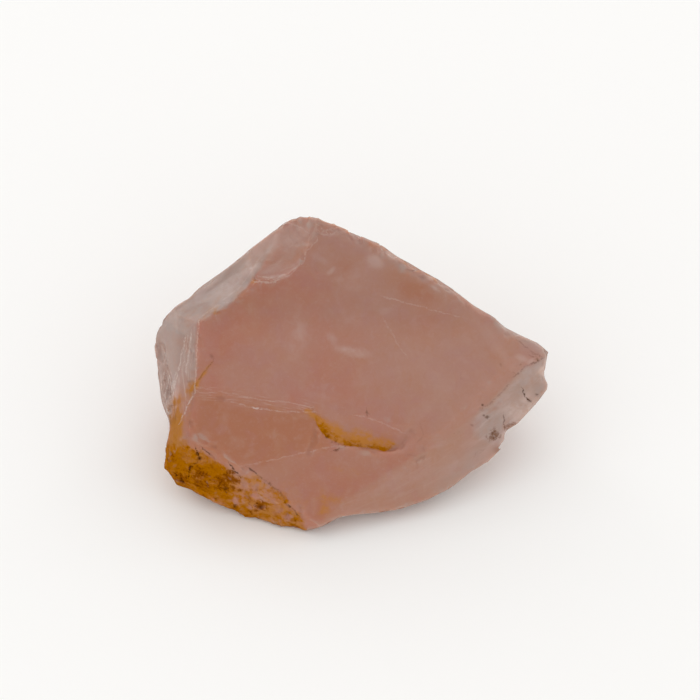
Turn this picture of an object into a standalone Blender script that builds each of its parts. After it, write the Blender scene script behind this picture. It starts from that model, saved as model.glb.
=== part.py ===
"""Rough chunk of rose quartz: one loose, solid stone broken from a larger mass.

The stone is shaped the way it broke. A block with the chunk's outline is struck along named
fracture planes, shallow shell-shaped scars are scooped out of its edges, thin ledges are lifted
off the main face, and at last a flat resting face is struck underneath.

Two frames are used. The face frame looks down on the main face from 50 degrees above the
horizon: x to the right, y up the slope of the view, z towards the viewer, in millimetres. The
resting frame is the finished one: metres, Z up, flat face on Z = 0.
"""

import math

import bmesh
import bpy
from mathutils import Matrix, Vector, noise
from mathutils.bvhtree import BVHTree

MM = 0.001

# How the face frame sits above the ground.
VIEW_LEAN = math.radians(40.0)
REST_HEIGHT = 17.3
BLOCK_NEAR = 30.0
BLOCK_FAR = -70.0

# Edge of the chunk as seen along the view, clockwise from the crown (mm).
OUTLINE = [
    (-6.9, 27.9), (-3.5, 27.3), (-1.9, 26.3), (0.0, 25.9), (1.9, 24.7), (5.3, 23.3), (8.8, 20.8),
    (10.9, 19.6), (12.7, 18.5), (15.3, 17.1), (18.0, 15.2), (21.5, 12.5), (24.7, 10.6),
    (27.3, 8.5), (30.0, 7.2), (33.0, 5.8), (35.1, 4.2), (34.4, 2.3), (34.6, 1.4), (34.0, 0.2),
    (34.9, -1.2), (34.7, -2.3), (32.6, -5.1), (29.4, -8.6), (26.6, -10.2), (27.0, -11.5),
    (26.1, -13.4), (24.7, -15.2), (21.5, -16.9), (18.0, -19.6), (13.6, -22.0), (9.2, -23.5),
    (5.3, -24.2), (0.9, -24.5), (-1.8, -25.0), (-4.4, -26.4), (-7.8, -27.5), (-9.5, -27.9),
    (-12.3, -27.3), (-16.4, -25.9), (-19.9, -23.8), (-25.9, -21.2), (-29.3, -19.7),
    (-31.0, -18.5), (-32.3, -16.2), (-32.6, -13.9), (-32.1, -11.3), (-31.7, -7.9),
    (-32.6, -6.7), (-33.5, -4.2), (-33.9, -0.7), (-34.2, 1.6), (-35.1, 3.4), (-35.1, 5.1),
    (-34.6, 6.5), (-34.2, 8.3), (-32.8, 9.7), (-30.5, 11.8), (-28.0, 13.4), (-26.1, 15.5),
    (-24.3, 16.9), (-20.8, 19.6), (-16.8, 22.9), (-13.0, 25.6), (-11.1, 27.0), (-9.0, 27.7),
]

# Main face: height towards the viewer at the middle, and its slopes right and up.
FACE_HEIGHT = 7.5
FACE_SLOPE_RIGHT = -0.10
FACE_SLOPE_UP = 0.10

# Ledge lifted off the lower left of the main face; how deep it lies at three places.
LEDGE_EDGE = [
    (-27.4, -2.7), (-20.8, -4.1), (-15.5, -5.3), (-10.6, -6.2), (-6.0, -6.2), (-5.4, -9.5),
    (-9.2, -18.5), (-30.0, -18.5), (-30.0, -2.0),
]
LEDGE_DEPTH = 0.7
LEDGE_DEPTH_RIGHT = 0.45

# Second, thinner sheet lost above the ledge.
SHEET_EDGE = [
    (-27.4, -0.4), (-22.0, -1.9), (-15.0, -3.0), (-7.5, -4.4), (-6.0, -6.4), (-10.6, -6.4),
    (-15.5, -5.6), (-27.4, -3.1),
]
SHEET_DEPTH = 0.35

# Crescent hollow right of the middle, deepest along its lower lip.
CRESCENT_EDGE = [
    (-6.2, -6.0), (-6.0, -8.0), (-4.6, -10.2), (-1.8, -11.7), (1.2, -12.5), (5.0, -13.3),
    (7.4, -13.3), (9.6, -12.2), (12.3, -7.8), (5.3, -4.2), (-3.5, -4.2),
]
CRESCENT_DEPTH = 1.8

# Pitch of the cuts that give the flat faces points to sway with (mm).
FACET_PITCH = 2.4
BROAD_AREA = 2.4

# Sway of the broken faces: size and wavelength (mm).
SWAY = ((0.26, 19.0), (0.14, 8.0))
NOISE_SEED = 11
CRUST_PITCH = 1.35
CRUST_ROUGHNESS = 0.45


def main_face(right, up, under=0.0):
    """Point on the main face, or so far under it, in the face frame."""
    height = FACE_HEIGHT + FACE_SLOPE_RIGHT * right + FACE_SLOPE_UP * up
    return Vector((right, up, height - under))


def at(right, up, near):
    """Point at its own height in the face frame."""
    return Vector((right, up, near))


# Fracture faces towards the viewer: three points of each, in the face frame.
FRONT_FACES = {
    "main": (main_face(-26, 13), main_face(26, 4), main_face(-9, -22)),
    "upper_right": (main_face(2.6, 15.2), main_face(21.2, 9.5), main_face(8.8, 20.6, 1.4)),
    "tip_top": (main_face(19.7, 15.2), main_face(28.6, -0.4), main_face(34.6, 4.2, 1.8)),
    "lower": (main_face(-19.4, -15.3), main_face(12.3, -10.9), main_face(-8.8, -26.3, 1.6)),
    "crust_left": (main_face(-28.4, -12.2), main_face(-18.9, -17.3), at(-29.3, -19.7, 0.0)),
    "crust_right": (main_face(-18.9, -16.2, 0.1), main_face(-7.9, -25.9, 1.5), at(-19.9, -23.8, 1.0)),
    "strip": (main_face(-26.6, 9.7), main_face(-28.2, -11.3), at(-31.2, -2.8, 5.5)),
    "left": (at(-29.1, 7.1, 9.0), at(-31.4, -7.9, 4.0), at(-34.9, 4.2, -3.0)),
    "right_low": (main_face(11.5, -13.4), main_face(-5.3, -25.0, 1.3), at(13.6, -21.9, 0.5)),
    "right_high": (main_face(34.9, 4.2, 1.5), main_face(13.2, -12.3), at(32.6, -4.9, 0.0)),
}

# Hidden fracture faces: a point and the way each looks, in the resting frame (mm).
HIDDEN_FACES = {
    "back_crown": ((-6.0, 16.9, 38.8), (0.26, 0.90, 0.36)),
    "back_right": ((10.0, 16.0, 26.8), (0.42, 0.90, 0.10)),
    "back_tip": ((29.6, 8.0, 18.6), (0.55, 0.80, -0.22)),
    "back_foot": ((4.0, 21.0, 8.0), (0.10, 0.93, -0.36)),
    "back_left": ((-17.0, 17.8, 20.8), (-0.52, 0.84, 0.16)),
    "back_left_low": ((-20.0, 15.5, 8.0), (-0.60, 0.76, -0.26)),
    "shoulder_back": ((-27.0, 11.8, 24.8), (-0.62, 0.70, 0.36)),
    "left_foot": ((-33.4, -1.1, 8.2), (-0.90, -0.05, -0.43)),
    "left_back_foot": ((-29.5, 7.5, 7.0), (-0.80, 0.42, -0.42)),
    "under_tip": ((27.0, -2.1, 8.0), (0.56, -0.05, -0.83)),
    "under_tip_back": ((20.0, 11.0, 7.0), (0.55, 0.50, -0.67)),
    "front_foot_left": ((-26.0, -15.4, 2.0), (-0.45, -0.35, -0.82)),
}

# Shell-shaped scars: four points on the hollow of each, in the face frame.
SCARS = {
    "shoulder": (main_face(-13.4, 24.3), main_face(-18.3, 15.2), at(-28.2, 8.1, 9.8), at(-24.3, 16.9, 5.0)),
    "crown": (main_face(-5.3, 26.4), main_face(-8.3, 20.1), main_face(-15.5, 16.6), at(-9.5, 27.7, 8.0)),
}

# Flat chips off the edges: place as seen, the way each looks (face frame), reach, turn, depth.
TOP_EDGE = (0.40, 0.70, 0.60)
LEFT_EDGE = (-0.62, 0.02, 0.78)
LOW_LEFT_EDGE = (-0.28, -0.62, 0.73)
LOW_RIGHT_EDGE = (0.36, -0.50, 0.79)
CHIPS = [
    ((1.2, 24.6), TOP_EDGE, 2.0, 0.3, 0.30), ((5.2, 22.8), TOP_EDGE, 1.6, 1.9, 0.22),
    ((9.5, 20.0), TOP_EDGE, 2.3, 2.7, 0.32), ((13.6, 17.6), TOP_EDGE, 1.4, 0.8, 0.20),
    ((17.5, 15.0), TOP_EDGE, 2.1, 4.1, 0.28), ((22.4, 11.5), TOP_EDGE, 1.5, 5.0, 0.20),
    ((28.2, 7.6), TOP_EDGE, 2.2, 1.2, 0.30), ((33.4, 3.2), (0.70, 0.30, 0.65), 1.9, 2.2, 0.35),
    ((-26.9, 4.6), LEFT_EDGE, 1.7, 0.6, 0.22), ((-27.4, -1.6), LEFT_EDGE, 1.4, 2.9, 0.20),
    ((-27.8, -7.6), LEFT_EDGE, 2.2, 1.4, 0.30), ((-25.4, -13.8), LOW_LEFT_EDGE, 1.9, 3.6, 0.28),
    ((-15.8, -19.2), LOW_LEFT_EDGE, 1.6, 0.2, 0.25), ((-10.4, -23.8), LOW_LEFT_EDGE, 2.4, 5.2, 0.35),
    ((24.2, -4.2), LOW_RIGHT_EDGE, 2.2, 2.4, 0.20), ((12.0, -13.4), LOW_RIGHT_EDGE, 1.8, 0.9, 0.18),
]

# Stepped breaks low on the left face: middle in the face frame, size and turn (mm, degrees).
STEPS = [
    ((-33.9, -1.5, 5.9), (4.4, 5.6, 10.0), 12.0),
    ((-33.5, -6.6, 7.6), (5.0, 3.4, 10.0), -8.0),
    ((-34.3, 4.0, 4.0), (3.2, 3.2, 10.0), 18.0),
]

# Scars on the hidden side: place, the way it looks, radius of the hollow and its depth (mm).
BACK_SCARS = [
    ((-20.0, 17.0, 15.5), (-0.56, 0.83, -0.02), 38.0, 2.0),
    ((13.0, 16.4, 13.0), (0.44, 0.89, -0.12), 33.0, 1.9),
    ((-31.5, 5.5, 10.0), (-0.92, 0.26, -0.28), 24.0, 1.3),
    ((25.5, 10.6, 17.5), (0.54, 0.83, -0.10), 20.0, 1.1),
    ((-5.5, 21.5, 13.0), (-0.08, 0.99, -0.08), 30.0, 1.3),
]

# Flakes lost from the hidden side: place, the way it looks, reach, turn, tilt and depth (mm).
BACK_FLAKES = [
    ((5.0, 16.8, 28.0), (0.34, 0.91, 0.20), 9.5, 1.15, 0.034, 0.30),
    ((-13.0, 20.0, 23.0), (-0.50, 0.85, 0.20), 8.5, 2.4, 0.060, 0.45),
    ((24.0, -4.0, 6.5), (0.55, -0.06, -0.83), 8.0, 1.9, 0.070, 0.60),
    ((18.0, 12.9, 22.0), (0.44, 0.89, 0.06), 6.5, 4.0, 0.080, 0.50),
]
FLAKE_EDGE = (1.00, 0.78, 1.12, 0.90, 1.22, 0.72, 0.95, 0.84)


def to_rest(point):
    """Turn a face-frame point into the resting frame, both in millimetres."""
    turned = Matrix.Rotation(VIEW_LEAN, 3, "X") @ Vector(point)
    return turned + Vector((0.0, 0.0, REST_HEIGHT))


def new_object(name, bm):
    """Keep a bmesh as a named object in the scene."""
    mesh = bpy.data.meshes.new(name)
    bm.to_mesh(mesh)
    bm.free()
    made = bpy.data.objects.new(name, mesh)
    bpy.context.scene.collection.objects.link(made)
    return made


def block():
    """Block with the outline of the chunk, long in the direction of the view (face frame)."""
    bm = bmesh.new()
    near = [bm.verts.new((x, y, BLOCK_NEAR)) for x, y in OUTLINE]
    far = [bm.verts.new((x, y, BLOCK_FAR)) for x, y in OUTLINE]
    bm.faces.new(near)
    bm.faces.new(far[::-1])
    for i in range(len(OUTLINE)):
        j = (i + 1) % len(OUTLINE)
        bm.faces.new((near[i], far[i], far[j], near[j]))
    bmesh.ops.recalc_face_normals(bm, faces=bm.faces)
    return bm


def strike(bm, point, outward):
    """Break everything off that lies outside one flat fracture, and close the break."""
    geometry = bm.verts[:] + bm.edges[:] + bm.faces[:]
    cut = bmesh.ops.bisect_plane(
        bm, geom=geometry, dist=1e-5, plane_co=point, plane_no=outward, clear_outer=True
    )
    rim = [item for item in cut["geom_cut"] if isinstance(item, bmesh.types.BMEdge)]
    if rim:
        bmesh.ops.holes_fill(bm, edges=rim, sides=0)


def strike_through(bm, points):
    """Strike along the plane of three points, taking off the side away from the stone's middle."""
    a, b, c = (to_rest(point) for point in points)
    outward = (b - a).cross(c - a).normalized()
    if (Vector((0.0, 0.0, REST_HEIGHT - 2.0)) - a).dot(outward) > 0.0:
        outward.negate()
    strike(bm, a, outward)


def hollow_sphere(points):
    """Middle and radius of the sphere through four points."""
    first = points[0]
    rows = [2.0 * (point - first) for point in points[1:]]
    sums = Vector([point.length_squared - first.length_squared for point in points[1:]])
    middle = Matrix(rows).inverted() @ sums
    return middle, (middle - first).length


def sphere(middle, radius, divisions):
    """Round cutter in the resting frame."""
    bm = bmesh.new()
    bmesh.ops.create_icosphere(bm, subdivisions=divisions, radius=radius)
    bmesh.ops.translate(bm, vec=middle, verts=bm.verts)
    return bm


def slab_over(edge, floor):
    """Cutter standing on a sloping floor inside a flat outline, reaching out of the stone."""
    a, b, c = floor
    normal = (b - a).cross(c - a)
    bm = bmesh.new()
    low = []
    high = []
    for x, y in edge:
        z = a.z - (normal.x * (x - a.x) + normal.y * (y - a.y)) / normal.z
        low.append(bm.verts.new(to_rest((x, y, z))))
        high.append(bm.verts.new(to_rest((x, y, z + 25.0))))
    bm.faces.new(low)
    bm.faces.new(high[::-1])
    for i in range(len(edge)):
        j = (i + 1) % len(edge)
        bm.faces.new((low[i], high[i], high[j], low[j]))
    bmesh.ops.recalc_face_normals(bm, faces=bm.faces)
    return bm


def step_block(corner, size, turn):
    """Small block for a stepped break, turned a little in the view."""
    bm = bmesh.new()
    bmesh.ops.create_cube(bm, size=1.0)
    bmesh.ops.scale(bm, vec=size, verts=bm.verts)
    bmesh.ops.rotate(bm, matrix=Matrix.Rotation(math.radians(turn), 3, "Z"), verts=bm.verts)
    for vert in bm.verts:
        vert.co = to_rest(vert.co + Vector(corner))
    bmesh.ops.recalc_face_normals(bm, faces=bm.faces)
    return bm


def flake_block(place, outward, reach, turn, tilt, depth):
    """Block with an uneven edge whose tilted floor lifts a thin flake off a hidden face."""
    bm = bmesh.new()
    low = []
    high = []
    for i, share in enumerate(FLAKE_EDGE):
        angle = turn + 2.0 * math.pi * (i + 0.3 * share) / len(FLAKE_EDGE)
        x = reach * share * math.cos(angle)
        y = 0.72 * reach * share * math.sin(angle)
        low.append(bm.verts.new((x, y, tilt * x - depth)))
        high.append(bm.verts.new((x, y, 6.0)))
    bm.faces.new(low[::-1])
    bm.faces.new(high)
    for i in range(len(low)):
        j = (i + 1) % len(low)
        bm.faces.new((low[i], low[j], high[j], high[i]))
    facing = Vector(outward).normalized().to_track_quat("Z", "Y").to_matrix()
    bmesh.ops.rotate(bm, matrix=facing, verts=bm.verts)
    bmesh.ops.translate(bm, vec=place, verts=bm.verts)
    bmesh.ops.recalc_face_normals(bm, faces=bm.faces)
    return bm


def surface_under(stone, right, up):
    """Where a line of sight first meets the stone."""
    mesh = stone.data
    places = [vert.co for vert in mesh.vertices]
    tree = BVHTree.FromPolygons(places, [polygon.vertices for polygon in mesh.polygons])
    start = to_rest((right, up, 80.0))
    return tree.ray_cast(start, to_rest((right, up, 0.0)) - start)[0]


def in_order(mesh):
    """Number the points and faces by place, so that every run works through them alike."""
    places = [tuple(round(value, 5) for value in vert.co) for vert in mesh.vertices]
    order = sorted(range(len(places)), key=lambda i: places[i])
    rank = {old: new for new, old in enumerate(order)}
    faces = []
    for polygon in mesh.polygons:
        ring = [rank[i] for i in polygon.vertices]
        first = ring.index(min(ring))
        faces.append(tuple(ring[first:] + ring[:first]))
    sorted_mesh = bpy.data.meshes.new(mesh.name)
    sorted_mesh.from_pydata([places[i] for i in order], [], sorted(faces))
    return sorted_mesh


def take_away(stone, name, cutter_mesh):
    """Cut one closed shape out of the stone."""
    cutter = new_object(name, cutter_mesh)
    cutter.hide_render = True
    cutter.display_type = "WIRE"
    cut = stone.modifiers.new(name, "BOOLEAN")
    cut.object = cutter
    cut.operation = "DIFFERENCE"
    cut.solver = "EXACT"
    graph = bpy.context.evaluated_depsgraph_get()
    shaped = bpy.data.meshes.new_from_object(stone.evaluated_get(graph))
    stone.modifiers.clear()
    old = stone.data
    stone.data = in_order(shaped)
    bpy.data.meshes.remove(old)
    bpy.data.objects.remove(cutter)


def broken_block():
    """Block struck along every fracture plane, still in millimetres (resting frame)."""
    bm = block()
    for vert in bm.verts:
        vert.co = to_rest(vert.co)
    for points in FRONT_FACES.values():
        strike_through(bm, points)
    for point, outward in HIDDEN_FACES.values():
        strike(bm, Vector(point), Vector(outward).normalized())
    strike(bm, Vector((0.0, 0.0, -1.2)), Vector((0.0, 0.0, -1.0)))
    bmesh.ops.recalc_face_normals(bm, faces=bm.faces)
    return new_object("rose_quartz_chunk", bm)


def scoop_scars(stone):
    """Shell-shaped scars, chips and stepped breaks around the edges."""
    for name, points in SCARS.items():
        middle, radius = hollow_sphere(points)
        divisions = 5 if radius > 20.0 else 4
        take_away(stone, name, sphere(to_rest(middle), radius, divisions))
    for i, (place, outward, radius, depth) in enumerate(BACK_SCARS):
        middle = Vector(place) + Vector(outward).normalized() * (radius - depth)
        take_away(stone, f"back_scar_{i}", sphere(middle, radius, 5))
    for i, flake in enumerate(BACK_FLAKES):
        take_away(stone, f"back_flake_{i}", flake_block(*flake))
    for i, ((right, up), looks, reach, turn, depth) in enumerate(CHIPS):
        place = surface_under(stone, right, up)
        outward = to_rest(looks) - to_rest((0.0, 0.0, 0.0))
        take_away(stone, f"chip_{i}", flake_block(place, outward, reach, turn, 0.05, depth))
    for i, (corner, size, turn) in enumerate(STEPS):
        take_away(stone, f"step_{i}", step_block(corner, size, turn))


def lift_sheets(stone):
    """Thin ledges lost from the main face, and the crescent hollow beside them."""
    ledge_floor = (
        main_face(-27.0, -2.8, LEDGE_DEPTH),
        main_face(-6.0, -6.2, LEDGE_DEPTH_RIGHT),
        main_face(-17.6, -15.9, -0.05),
    )
    take_away(stone, "ledge", slab_over(LEDGE_EDGE, ledge_floor))
    sheet_floor = (
        main_face(-27.0, -3.0, SHEET_DEPTH),
        main_face(-8.0, -5.8, 0.5 * SHEET_DEPTH),
        main_face(-16.0, -2.6, 0.2 * SHEET_DEPTH),
    )
    take_away(stone, "sheet", slab_over(SHEET_EDGE, sheet_floor))
    crescent_floor = (
        main_face(-5.6, -7.6, 0.15),
        main_face(9.7, -8.5, 0.0),
        main_face(1.8, -12.7, CRESCENT_DEPTH),
    )
    take_away(stone, "crescent", slab_over(CRESCENT_EDGE, crescent_floor))


def score(bm, pitch, least_area, wanted):
    """Cut faces larger than an area along three sets of planes, so that they can sway."""
    reach = 60.0
    turn = Matrix.Rotation(0.35, 3, "X") @ Matrix.Rotation(0.30, 3, "Y") @ Matrix.Rotation(0.2, 3, "Z")
    for axis in range(3):
        normal = turn.col[axis]
        for step in range(int(-reach / pitch), int(reach / pitch) + 1):
            here = normal * (pitch * (step + 0.37))
            faces = [
                face for face in bm.faces
                if face.calc_area() > least_area and wanted(face) and spans(face, here, normal)
            ]
            if not faces:
                continue
            edges = list(dict.fromkeys(edge for face in faces for edge in face.edges))
            verts = list(dict.fromkeys(vert for face in faces for vert in face.verts))
            bmesh.ops.bisect_plane(
                bm, geom=verts + edges + faces, dist=0.12, plane_co=here, plane_no=normal
            )


def spans(face, point, normal):
    """Whether a face reaches across a plane by more than a hair on both sides."""
    sides = [(vert.co - point).dot(normal) for vert in face.verts]
    return min(sides) < -0.25 and max(sides) > 0.25


def in_crust(point):
    """How far a resting-frame point lies in the rough stained band at the lower left, 0 to 1."""
    seen = Matrix.Rotation(-VIEW_LEAN, 3, "X") @ (point - Vector((0.0, 0.0, REST_HEIGHT)))
    if seen.z < -6.0:
        return 0.0
    edge = [(-34.0, -12.4), (-28.4, -12.6), (-18.9, -17.3), (-12.4, -22.0), (-7.9, -26.4)]
    for (x0, y0), (x1, y1) in zip(edge, edge[1:]):
        if x0 <= seen.x < x1:
            line = y0 + (y1 - y0) * (seen.x - x0) / (x1 - x0)
            return max(0.0, min(1.0, (line - seen.y) / 1.5))
    return 0.0


def sway(point):
    """Small drift of a broken face from dead flat at one point (mm)."""
    drift = Vector((0.0, 0.0, 0.0))
    for size, wavelength in SWAY:
        drift += size * noise.noise_vector(point / wavelength)
    crust = in_crust(point)
    if crust > 0.0:
        drift += crust * CRUST_ROUGHNESS * noise.noise_vector(point / 3.1)
        drift += crust * 0.5 * CRUST_ROUGHNESS * noise.noise_vector(point / 1.6)
    return drift


def weather(stone):
    """Give the flat fractures their slight sway and the stained band its rough crust."""
    noise.seed_set(NOISE_SEED)
    bm = bmesh.new()
    bm.from_mesh(stone.data)
    bmesh.ops.dissolve_limit(bm, angle_limit=0.002, verts=bm.verts, edges=bm.edges)
    score(bm, CRUST_PITCH, 1.1, lambda face: in_crust(face.calc_center_median()) > 0.2)
    score(bm, FACET_PITCH, BROAD_AREA, lambda face: True)
    bmesh.ops.triangulate(bm, faces=bm.faces, quad_method="BEAUTY", ngon_method="BEAUTY")
    bmesh.ops.dissolve_degenerate(bm, dist=0.16, edges=bm.edges)
    bmesh.ops.triangulate(bm, faces=bm.faces, quad_method="BEAUTY", ngon_method="BEAUTY")
    for vert in bm.verts:
        vert.co += sway(vert.co)
    strike(bm, Vector((0.0, 0.0, 0.0)), Vector((0.0, 0.0, -1.0)))
    bmesh.ops.triangulate(bm, faces=bm.faces, quad_method="BEAUTY", ngon_method="BEAUTY")
    bmesh.ops.recalc_face_normals(bm, faces=bm.faces)
    bm.to_mesh(stone.data)
    bm.free()


def settle(stone):
    """Bring the stone to metres with the middle of its outer box over the origin."""
    mesh = stone.data
    lows = [min(vert.co[axis] for vert in mesh.vertices) for axis in range(3)]
    highs = [max(vert.co[axis] for vert in mesh.vertices) for axis in range(3)]
    shift = Vector((-0.5 * (lows[0] + highs[0]), -0.5 * (lows[1] + highs[1]), -lows[2]))
    print("outer box before settling", lows, highs)
    for vert in mesh.vertices:
        vert.co = (vert.co + shift) * MM


def quartz():
    """Plain stand-in for the cloudy pink quartz."""
    material = bpy.data.materials.new("rose_quartz")
    material.use_nodes = True
    shader = material.node_tree.nodes["Principled BSDF"]
    shader.inputs["Base Color"].default_value = (0.52, 0.25, 0.20, 1.0)
    shader.inputs["Roughness"].default_value = 0.32
    return material


def main():
    """Break the stone, scar it, weather it and set it down."""
    for item in list(bpy.data.objects):
        bpy.data.objects.remove(item)
    stone = broken_block()
    scoop_scars(stone)
    lift_sheets(stone)
    weather(stone)
    settle(stone)
    stone.data.materials.clear()
    stone.data.materials.append(quartz())
    print("faces", len(stone.data.polygons))


main()
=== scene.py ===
"""Rough chunk of rose quartz on a pale floor: its broken faces, veils, rust stain and light.

The stone is one piece. Its surface is the solid's own, refined into small patches and given the
fine relief that broken quartz has, and one material paints and glazes it.
"""

import logging
import math
from dataclasses import dataclass
from enum import Enum

import bpy
import numpy as np
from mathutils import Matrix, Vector


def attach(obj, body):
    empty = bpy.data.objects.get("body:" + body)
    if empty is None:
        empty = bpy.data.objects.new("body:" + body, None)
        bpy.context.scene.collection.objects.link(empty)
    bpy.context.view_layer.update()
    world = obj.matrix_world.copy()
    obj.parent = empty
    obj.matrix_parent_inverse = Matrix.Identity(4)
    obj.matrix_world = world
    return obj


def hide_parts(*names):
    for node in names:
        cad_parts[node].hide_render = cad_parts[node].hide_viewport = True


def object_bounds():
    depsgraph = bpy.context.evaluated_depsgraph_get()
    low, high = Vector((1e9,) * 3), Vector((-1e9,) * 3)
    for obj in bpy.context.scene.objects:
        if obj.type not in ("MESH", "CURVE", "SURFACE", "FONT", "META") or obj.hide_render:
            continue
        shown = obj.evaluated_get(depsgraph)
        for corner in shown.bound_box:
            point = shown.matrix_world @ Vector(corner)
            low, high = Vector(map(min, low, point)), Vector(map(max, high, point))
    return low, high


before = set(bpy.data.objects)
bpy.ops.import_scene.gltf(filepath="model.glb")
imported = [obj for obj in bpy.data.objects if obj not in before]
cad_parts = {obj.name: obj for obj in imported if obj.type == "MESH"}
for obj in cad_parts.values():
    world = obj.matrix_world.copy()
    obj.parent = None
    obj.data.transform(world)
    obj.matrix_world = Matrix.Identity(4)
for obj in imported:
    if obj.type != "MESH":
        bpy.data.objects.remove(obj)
CAD_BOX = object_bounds()

NODE = "rose_quartz_chunk"
MM = 0.001
LOG = logging.getLogger("rose_quartz")

Points = np.ndarray
Socket = bpy.types.NodeSocket
Feed = Socket | float | tuple[float, float, float, float]
Outline = tuple[tuple[float, float], ...]


@dataclass(frozen=True)
class FaceFrame:
    """How the main face is seen: right and up in the view, and nearness, in millimetres.

    The view is leant back by lean degrees from the horizon's upright, and the stone stands
    rest_height above the floor's plane in it, moved by settle over the floor.
    """

    lean: float = 40.0
    rest_height: float = 17.3
    settle: tuple[float, float] = (-0.14, -0.33)

    def seen(self, places: Points) -> Points:
        """Turn places on the floor's frame into the view's.

        Args:
            places: points in metres, one a row.
        Returns:
            The same points as right, up and near, in millimetres.
        """
        lean = math.radians(self.lean)
        x = places[:, 0] / MM - self.settle[0]
        y = places[:, 1] / MM - self.settle[1]
        z = places[:, 2] / MM - self.rest_height
        up = y * math.cos(lean) + z * math.sin(lean)
        near = -y * math.sin(lean) + z * math.cos(lean)
        return np.column_stack((x, up, near))

    def place(self, right: float, up: float, near: float) -> Vector:
        """Turn one point of the view into metres over the floor.

        Args:
            right: millimetres to the right.
            up: millimetres up in the view.
            near: millimetres towards the viewer.
        Returns:
            The point in metres.
        """
        lean = math.radians(self.lean)
        y = up * math.cos(lean) - near * math.sin(lean) + self.settle[1]
        z = up * math.sin(lean) + near * math.cos(lean) + self.rest_height
        return Vector((right + self.settle[0], y, z)) * MM

    def towards(self) -> Points:
        """Unit vector from the stone to the viewer."""
        lean = math.radians(self.lean)
        return np.array((0.0, -math.sin(lean), math.cos(lean)))


VIEW = FaceFrame()


def smooth(low: float | Points, high: float | Points, values: Points) -> Points:
    """Rise from 0 to 1 between two values as 3t^2 - 2t^3; falls if low is above high.

    Args:
        low: value that gives 0.
        high: value that gives 1.
        values: what is measured.
    Returns:
        The share reached at each value.
    """
    share = np.clip((values - low) / (high - low), 0.0, 1.0)
    return share * share * (3.0 - 2.0 * share)


class GradientNoise:
    """Smooth noise in space: slopes drawn at whole-number corners and blended between them."""

    def __init__(self, seed: int) -> None:
        """Draw the corners' slopes.

        Args:
            seed: number that fixes the draw.
        """
        draw = np.random.default_rng(seed)
        self.order = draw.permutation(256)
        slopes = draw.normal(size=(256, 3))
        self.slopes = slopes / np.linalg.norm(slopes, axis=1, keepdims=True)

    def at(self, places: Points) -> Points:
        """Noise from about -0.8 to 0.8: the sum over 8 corners of slope . offset x fade.

        Args:
            places: points, one a row, in wavelengths.
        Returns:
            One value for each point.
        """
        cell = np.floor(places).astype(np.int64)
        part = places - cell
        fade = part**3 * (part * (part * 6.0 - 15.0) + 10.0)
        total = np.zeros(len(places))
        for corner in np.ndindex(2, 2, 2):
            x, y, z = (cell + corner).T & 255
            slope = self.slopes[self.order[(self.order[(self.order[x] + y) & 255] + z) & 255]]
            weight = np.prod(np.where(corner, fade, 1.0 - fade), axis=1)
            total += weight * np.sum(slope * (part - corner), axis=1)
        return total

    def layers(self, places: Points, count: int, gain: float = 0.5) -> Points:
        """Noise with finer noise added, each layer half as wide and gain times as high.

        Args:
            places: points in wavelengths of the first layer.
            count: number of layers.
            gain: height of each layer over the one before.
        Returns:
            One value for each point.
        """
        return sum(gain**i * self.at(places * 2.0**i + 7.3 * i) for i in range(count))


@dataclass(frozen=True)
class Waves:
    """Layered noise in space: seed, wavelength in millimetres (or one an axis), layers and gain."""

    seed: int
    width: float | tuple[float, float, float]
    count: int
    gain: float = 0.5

    def over(self, places: Points) -> Points:
        """Noise at places in millimetres."""
        return GradientNoise(self.seed).layers(places / self.width, self.count, self.gain)


class Noise(Enum):
    """Named noises of the stone: those of its shape, then those of its paint."""

    SWAY = Waves(3, 6.5, 2)
    GRAIN = Waves(4, 1.6, 2)
    WOBBLE = Waves(5, 5.0, 1)
    CRUST = Waves(6, 2.1, 3, 0.6)
    CHIP = Waves(7, 2.6, 2, 0.6)
    RING_PATCH = Waves(8, 6.0, 2)
    BACK_SWAY = Waves(9, 11.0, 3)
    SCALLOP = Waves(10, 2.0, 2)
    BLOTCH = Waves(21, 5.0, 3, 0.55)
    PATCH = Waves(22, 2.2, 3, 0.6)
    BACK_RUST = Waves(23, 12.0, 4, 0.55)
    BACK_VEIL = Waves(24, (9.0, 9.0, 4.5), 4, 0.6)
    DRIFT = Waves(25, 4.0, 3, 0.6)
    BACK_PALE = Waves(26, 16.0, 3)
    WINDOW = Waves(27, 3.4, 3, 0.6)
    BACK_DEEP = Waves(28, 13.0, 3)
    CRUMB = Waves(29, 1.3, 2, 0.6)
    STREAKY = Waves(30, 2.4, 3, 0.6)


@dataclass(frozen=True)
class Line:
    """A drawn line as seen on the face, in millimetres."""

    points: Outline

    def side(self, seen: Points) -> tuple[Points, Points]:
        """Signed distance from the nearest stretch, and how far along inside it lies.

        Args:
            seen: points as right and up.
        Returns:
            Signed distance (left positive) and plain distance, both in millimetres.
        """
        start = np.array(self.points[:-1])
        run = np.array(self.points[1:]) - start
        offset = seen[:, None, :2] - start[None]
        share = np.clip((offset * run).sum(2) / (run * run).sum(1), 0.0, 1.0)
        away = offset - share[..., None] * run
        distance = np.linalg.norm(away, axis=2)
        nearest = distance.argmin(axis=1)
        rows = np.arange(len(seen))
        cross = run[nearest, 0] * offset[rows, nearest, 1] - run[nearest, 1] * offset[rows, nearest, 0]
        near = distance[rows, nearest]
        return np.where(cross >= 0.0, near, -near), near

    def near(self, seen: Points, reach: float) -> Points:
        """Share that fades from 1 on the line to 0 at a distance."""
        return smooth(reach, 0.0, self.side(seen)[1])


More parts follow.
